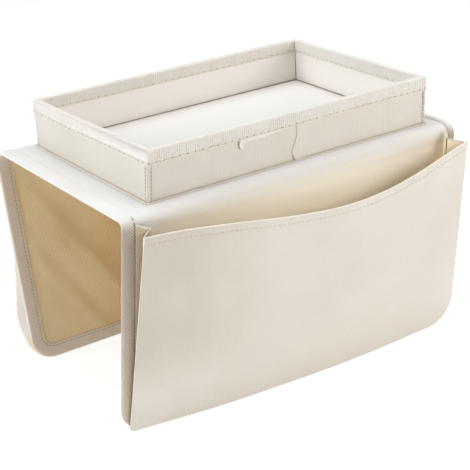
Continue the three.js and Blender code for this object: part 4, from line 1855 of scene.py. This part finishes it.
    def inner_seams(self) -> Piece:
        """The seams inside, in dark thread as painted shade: down the four corners of the lining, and along
        the floor panel's edge, where the row stands in for the shaded gap.

        Returns:
            The stitches.
        """
        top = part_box("tray_floor_cover")[1].z
        points, ways, closes = self.row(self.stack + 0.35 * MM, top - 0.1 * MM)
        paths = [(points, np.tile([0.0, 0.0, 1.0], (len(ways), 1)), closes)]
        z = np.linspace(top, self.rim_low, 12)
        for signs in PLAN_CORNERS:
            spot = self.corner_at(signs, self.stack + 0.15 * MM)
            paths.append(self.upright(spot, z, -signs * DIAGONAL))
        return self.inner_stitch.sew("tray_inner_seams", paths, self.wardrobe["dark_thread"])

    def foot_line(self) -> Piece:
        """The row of tan thread at the wall's foot, which also stands in as painted shade for the seam's
        groove.

        Returns:
            The stitches.
        """
        row = self.row(-0.1 * MM, self.foot + 0.75 * MM)
        return self.foot_stitch.sew("tray_foot_line", [row], self.wardrobe["hem_thread"])

    def rim_section(self, swell: float) -> Array:
        """Section of the folded rim tape, as distance out from the wall's face and height.

        Args:
            swell: How far it lies outside the tape's plain form.

        Returns:
            The section's points.
        """
        out, into = self.rim_out + swell, -self.stack - self.tape_build - swell
        top, low = self.rim_top + swell, self.rim_low
        radius = max(self.rim_round + swell, 0.5 * MM)
        turn = QUARTER_TURN
        legs = np.linspace(low, top - radius, 7)[:-1]
        pinch = self.rim_pinch * ridge(legs, low + self.rim_pinch_rise, self.rim_pinch_width)
        z = np.concatenate([legs, top - radius + radius * np.sin(turn)])
        inward = np.concatenate([pinch, radius - radius * np.cos(turn)])
        return np.concatenate([grid(out - inward, z), grid(into + inward, z)[::-1]])

    def rim(self) -> Piece:
        """The folded tape round the rim."""
        section = np.concatenate([self.rim_section(0.0), self.rim_section(-self.tape)[::-1]])
        return self.ring("tray_rim_binding", section)

    def rim_ribs(self) -> Piece:
        """The tape's grosgrain ribs.

        Returns:
            The ribs.
        """
        sunk = self.rib - self.rib_proud
        width = self.stack + self.tape_build + self.rim_out - 2 * sunk
        height = self.rim_reach - self.rib_stops
        path = self.row(sunk - self.rim_out, self.rim_top - height / 2 - sunk)
        ribs = Rib(self.rib_pitch, width, height, self.rib)
        return ribs.weave("tray_rim_ribs", path, self.wardrobe["rim_tape"])

    def rim_stitches(self) -> list[Piece]:
        """Two rows of stitches along each face of the rim tape's lower edge, and a row of dark dashes between
        them as painted shade.

        Returns:
            The stitches and the dips.
        """
        pale, dark = [], []
        for inset, sign in ((-self.rim_out, 1.0), (self.stack + self.tape_build - 0.1 * MM, -1.0)):
            corner = max(self.corner - inset, 0.8 * MM)
            for rise, paths in zip(self.rim_rows, (pale, dark, pale)):
                paths.append(self.row(inset, self.rim_low + rise, corner, sign))
        return [
            self.rim_stitch.sew("tray_rim_stitches", pale, self.wardrobe["thread"]),
            self.rim_dip.sew("tray_rim_dips", dark, self.wardrobe["dark_thread"]),
        ]

    def tape_tail(self) -> Piece:
        """The rim tape's loose tail on the front wall, with its cut end standing off.

        Returns:
            The sheet.
        """
        t = np.concatenate([np.linspace(0, 0.84, 28), np.linspace(0.85, 1, 22)])[:, None]
        k = np.linspace(0, 1, 10)[None, :]
        drop = self.tail_drop * smooth(t, *self.drop_run) + self.tail_tip * smooth(t, *self.tip_run)
        height = drop + self.tail_edge
        notch = self.tail_notch * (2 * k - 1) ** 2 * smooth(t, *self.notch_run)
        x = self.centre - self.tail * t + notch
        z = self.rim_low + self.tail_edge - height * k
        curl = self.tail_curl * smooth(t, *self.curl_run)
        out = self.half_y + self.tail_stand + curl + self.tail_lean * k
        faces = [grid(x, depth - out, z) for depth in (0.0, self.tail_thick)]
        return sheet_object("tray_rim_tail", *faces, grid(self.tail * t, height * k))

    def band_lap(self) -> Piece:
        """The wall band's lapped end at the middle of the front wall.

        Returns:
            The sheet.
        """
        k = np.linspace(0, 1, 14)[:, None]
        z = np.linspace(self.foot, self.wall_top - self.rim_reach + self.lap_under_rim, 26)[None, :]
        share = (z - self.foot) / (self.wall_top - self.foot)
        x = self.centre + np.interp(share, LAP_SHARES, LAP_SWAY) * MM + self.lap * k
        curl = self.lap_curl * ridge(share, *self.lap_curl_at) * (1 - smooth(k, 0, 0.5))
        proud = self.cloth * (1 - smooth(k, 0.35, 1.0)) + curl
        out = self.half_y + self.wave(grid(x, -self.half_y), z) - self.tuck(z)
        faces = [grid(x, depth - out, z) for depth in (-proud - self.lap_proud, self.lap_sunk)]
        return sheet_object("tray_band_lap", *faces, grid(x, z))

    def floor(self) -> Piece:
        """The loose floor panel's cloth cover, with soft edges and a slight crown.

        Returns:
            The cover.
        """
        low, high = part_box("tray_floor_cover")
        inset = self.half_x - (high.x - low.x) / 2
        rings = []
        for inward, up in FLOOR_EDGE:
            points, _ = self.loop(inset + inward * MM, self.floor_corner)
            rings.append(at_height(points, low.z + up * (high.z - low.z)))
        centre = np.array([self.centre, 0.0])
        for share in np.linspace(0.97, 0.05, 22):
            inner = centre + (points - centre) * share
            ripple = self.floor_ripple * np.sin(inner @ [95, 60]) * (1 - share)
            rings.append(np.column_stack([inner, high.z + self.floor_crown * (1 - share**2) + ripple]))
        panel = np.stack(rings)
        return strip_object("tray_floor_panel", panel, panel[..., :2])

    def build(self) -> list[Piece]:
        """Makes the tray and joins it to its bodies.

        Returns:
            Its pieces.
        """
        band, inside, rim = self.band(), self.inside(), self.rim()
        tail, lap, floor, seam = self.tape_tail(), self.band_lap(), self.floor(), self.foot_seam()
        for piece, finish, slot in (
            (band, "cloth", "cloth"),
            (lap, "cloth", "cloth"),
            (seam, "cloth", "cloth"),
            (inside, "tray_inside", "cloth"),
            (rim, "rim_tape", "rim_tape"),
            (tail, "rim_tape", "rim_tape"),
            (floor, "floor_cloth", "floor_cloth"),
        ):
            dress(piece, self.wardrobe[finish])
        walls = (("front", 0, -1), ("rear", 0, 1), ("left", 1, -1), ("right", 1, 1))
        boards = [self.stiffener(*wall) for wall in walls]
        ribs, line, inner_seams = self.rim_ribs(), self.foot_line(), self.inner_seams()
        rows = [ribs, *self.rim_stitches(), line, *self.corner_seams(), inner_seams]
        fixed = [band, inside, rim, tail, lap, seam, *rows]
        for piece in fixed:
            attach(piece, "saddle")
        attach(floor, "tray_floor")
        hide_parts("tray_outer_band")
        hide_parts("tray_wall_lining")
        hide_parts("tray_rim_tape")
        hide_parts("tray_floor_cover")
        girth = 4 * (self.half_x + self.half_y)
        height = self.wall_top - self.foot
        lapped = (girth + self.lap, height)
        girth - 8 * self.stack
        return [*fixed, *boards, floor]


# Studio


@dataclass(frozen=True)
class Softbox:
    """A soft square lamp."""

    name: str
    place: tuple[float, float, float]
    size: float
    watts: float
    tint: tuple[float, float, float]

    def build(self, aim: Vector) -> None:
        """Adds the lamp, pointed at aim.

        Args:
            aim: What the lamp points at.
        """
        data = bpy.data.lights.new(self.name, "AREA")
        data.size, data.energy, data.color = self.size, self.watts, self.tint
        lamp = add_object(self.name, data)
        lamp.location = self.place
        lamp.rotation_mode = "QUATERNION"
        lamp.rotation_quaternion = (aim - Vector(self.place)).to_track_quat("-Z", "Y")


SOFTBOXES = (
    Softbox("left_softbox", (-1.7, 0.15, 0.75), 1.2, 23.5, (0.92, 0.95, 1.0)),
    Softbox("right_softbox", (0.85, -1.05, 0.65), 0.7, 9.0, (0.98, 0.98, 1.0)),
    Softbox("top_softbox", (0.1, 0.25, 1.85), 1.6, 30.0, (0.91, 0.955, 1.0)),
    Softbox("front_softbox", (0.4, -2.0, 0.65), 1.2, 7.8, (1.0, 0.935, 0.85)),
)


@dataclass
class Studio:
    """Camera, lamps and the white floor."""

    place: tuple[float, float, float] = (-0.56252, -0.85746, 0.53716)
    azimuth: float = -33.488
    elevation: float = 23.141
    roll: float = -3.059
    lens: float = 101.32
    sensor: float = 36.0
    clip: tuple[float, float] = (0.05, 60.0)
    ambient: float = 0.04
    floor_reach: float = 6.0
    floor_depth: float = 0.4 * MM
    aim: tuple[float, float, float] = (0.0, 0.0, 0.12)

    def camera(self) -> None:
        """Sets the camera at the photograph's viewing angle."""
        data = bpy.data.cameras.new("view")
        data.lens, data.sensor_width = self.lens, self.sensor
        data.clip_start, data.clip_end = self.clip
        a, e, r = (math.radians(angle) for angle in (self.azimuth, self.elevation, self.roll))
        back = Vector((math.sin(a) * math.cos(e), -math.cos(a) * math.cos(e), math.sin(e)))
        right = Vector((0, 0, 1)).cross(back).normalized()
        up = back.cross(right)
        across = right * math.cos(r) + up * math.sin(r)
        upright = up * math.cos(r) - right * math.sin(r)
        view = add_object("view", data)
        turn = Matrix((across, upright, back)).transposed().to_4x4()
        view.matrix_world = Matrix.Translation(self.place) @ turn
        bpy.context.scene.camera = view

    def world(self) -> None:
        """Lights evenly from all round, and shows plain white behind the object."""
        world = bpy.data.worlds.new("studio")
        world.use_nodes = True
        tree = Tree(world.node_tree)
        strength = tree.in_view() * (1 - self.ambient) + self.ambient
        white = {"Color": (1.0, 1.0, 1.0, 1.0), "Strength": strength}
        tree.node("ShaderNodeOutputWorld", inputs={"Surface": tree.out("ShaderNodeBackground", inputs=white)})
        bpy.context.scene.world = world

    def floor(self) -> None:
        """A white floor that keeps the object's soft shadow."""
        plan = ((-1, -1), (1, -1), (1, 1), (-1, 1))
        corners = [(x * self.floor_reach, y * self.floor_reach, -self.floor_depth) for x, y in plan]
        mesh = bpy.data.meshes.new("studio_floor")
        mesh.from_pydata(corners, [], [(0, 1, 2, 3)])
        shader = Shader("studio_floor")
        papers = []
        for tone, light in ((0.85, 0.24), (0.3, 0.82)):
            paper = shader.out("ShaderNodeBsdfDiffuse", inputs={"Color": (tone, tone, tone, 1.0)})
            white = {"Color": (1.0, 1.0, 1.0, 1.0), "Strength": light}
            glow = shader.out("ShaderNodeEmission", inputs=white)
            papers.append(shader.out("ShaderNodeAddShader", inputs={0: paper, 1: glow}))
        mixed = shader.out("ShaderNodeMixShader", inputs={0: shader.in_view(), 1: papers[0], 2: papers[1]})
        shader.node("ShaderNodeOutputMaterial", inputs={"Surface": mixed})
        mesh.materials.append(shader.material)
        add_object("studio_floor", mesh)

    def build(self) -> None:
        """Sets up the whole studio."""
        bpy.context.scene.view_settings.view_transform = "Standard"
        self.camera()
        for softbox in SOFTBOXES:
            softbox.build(Vector(self.aim))
        self.world()
        self.floor()


def main() -> None:
    """Builds the object and its studio."""
    logging.basicConfig(level=logging.INFO, format="%(name)s: %(message)s")
    Studio().build()
    wardrobe = make_wardrobe()
    saddle = Saddle(wardrobe)
    rear_pocket = Pocket(
        saddle,
        wardrobe,
        in_right=18 * MM,
        flare_right=19.5 * MM,
        stand_right=11 * MM,
        belly_right=13 * MM,
        seam_return=20 * MM,
        gusset_rise=2 * MM,
    )
    pieces: list[Piece] = []
    for side, pocket in ((Side.FRONT, Pocket(saddle, wardrobe)), (Side.REAR, rear_pocket)):
        pieces += saddle.build(side)
        pieces += pocket.build(side)
    pieces += Tray(wardrobe).build()
    for name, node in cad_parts.items():
        if name.endswith("board") or "_board_" in name:
            node.data.materials.clear()
            node.data.materials.append(wardrobe["board"])
    for piece in pieces:
        LOG.info("%s: %d faces", piece.name, len(piece.data.polygons))


if __name__ == "__main__":
    main()
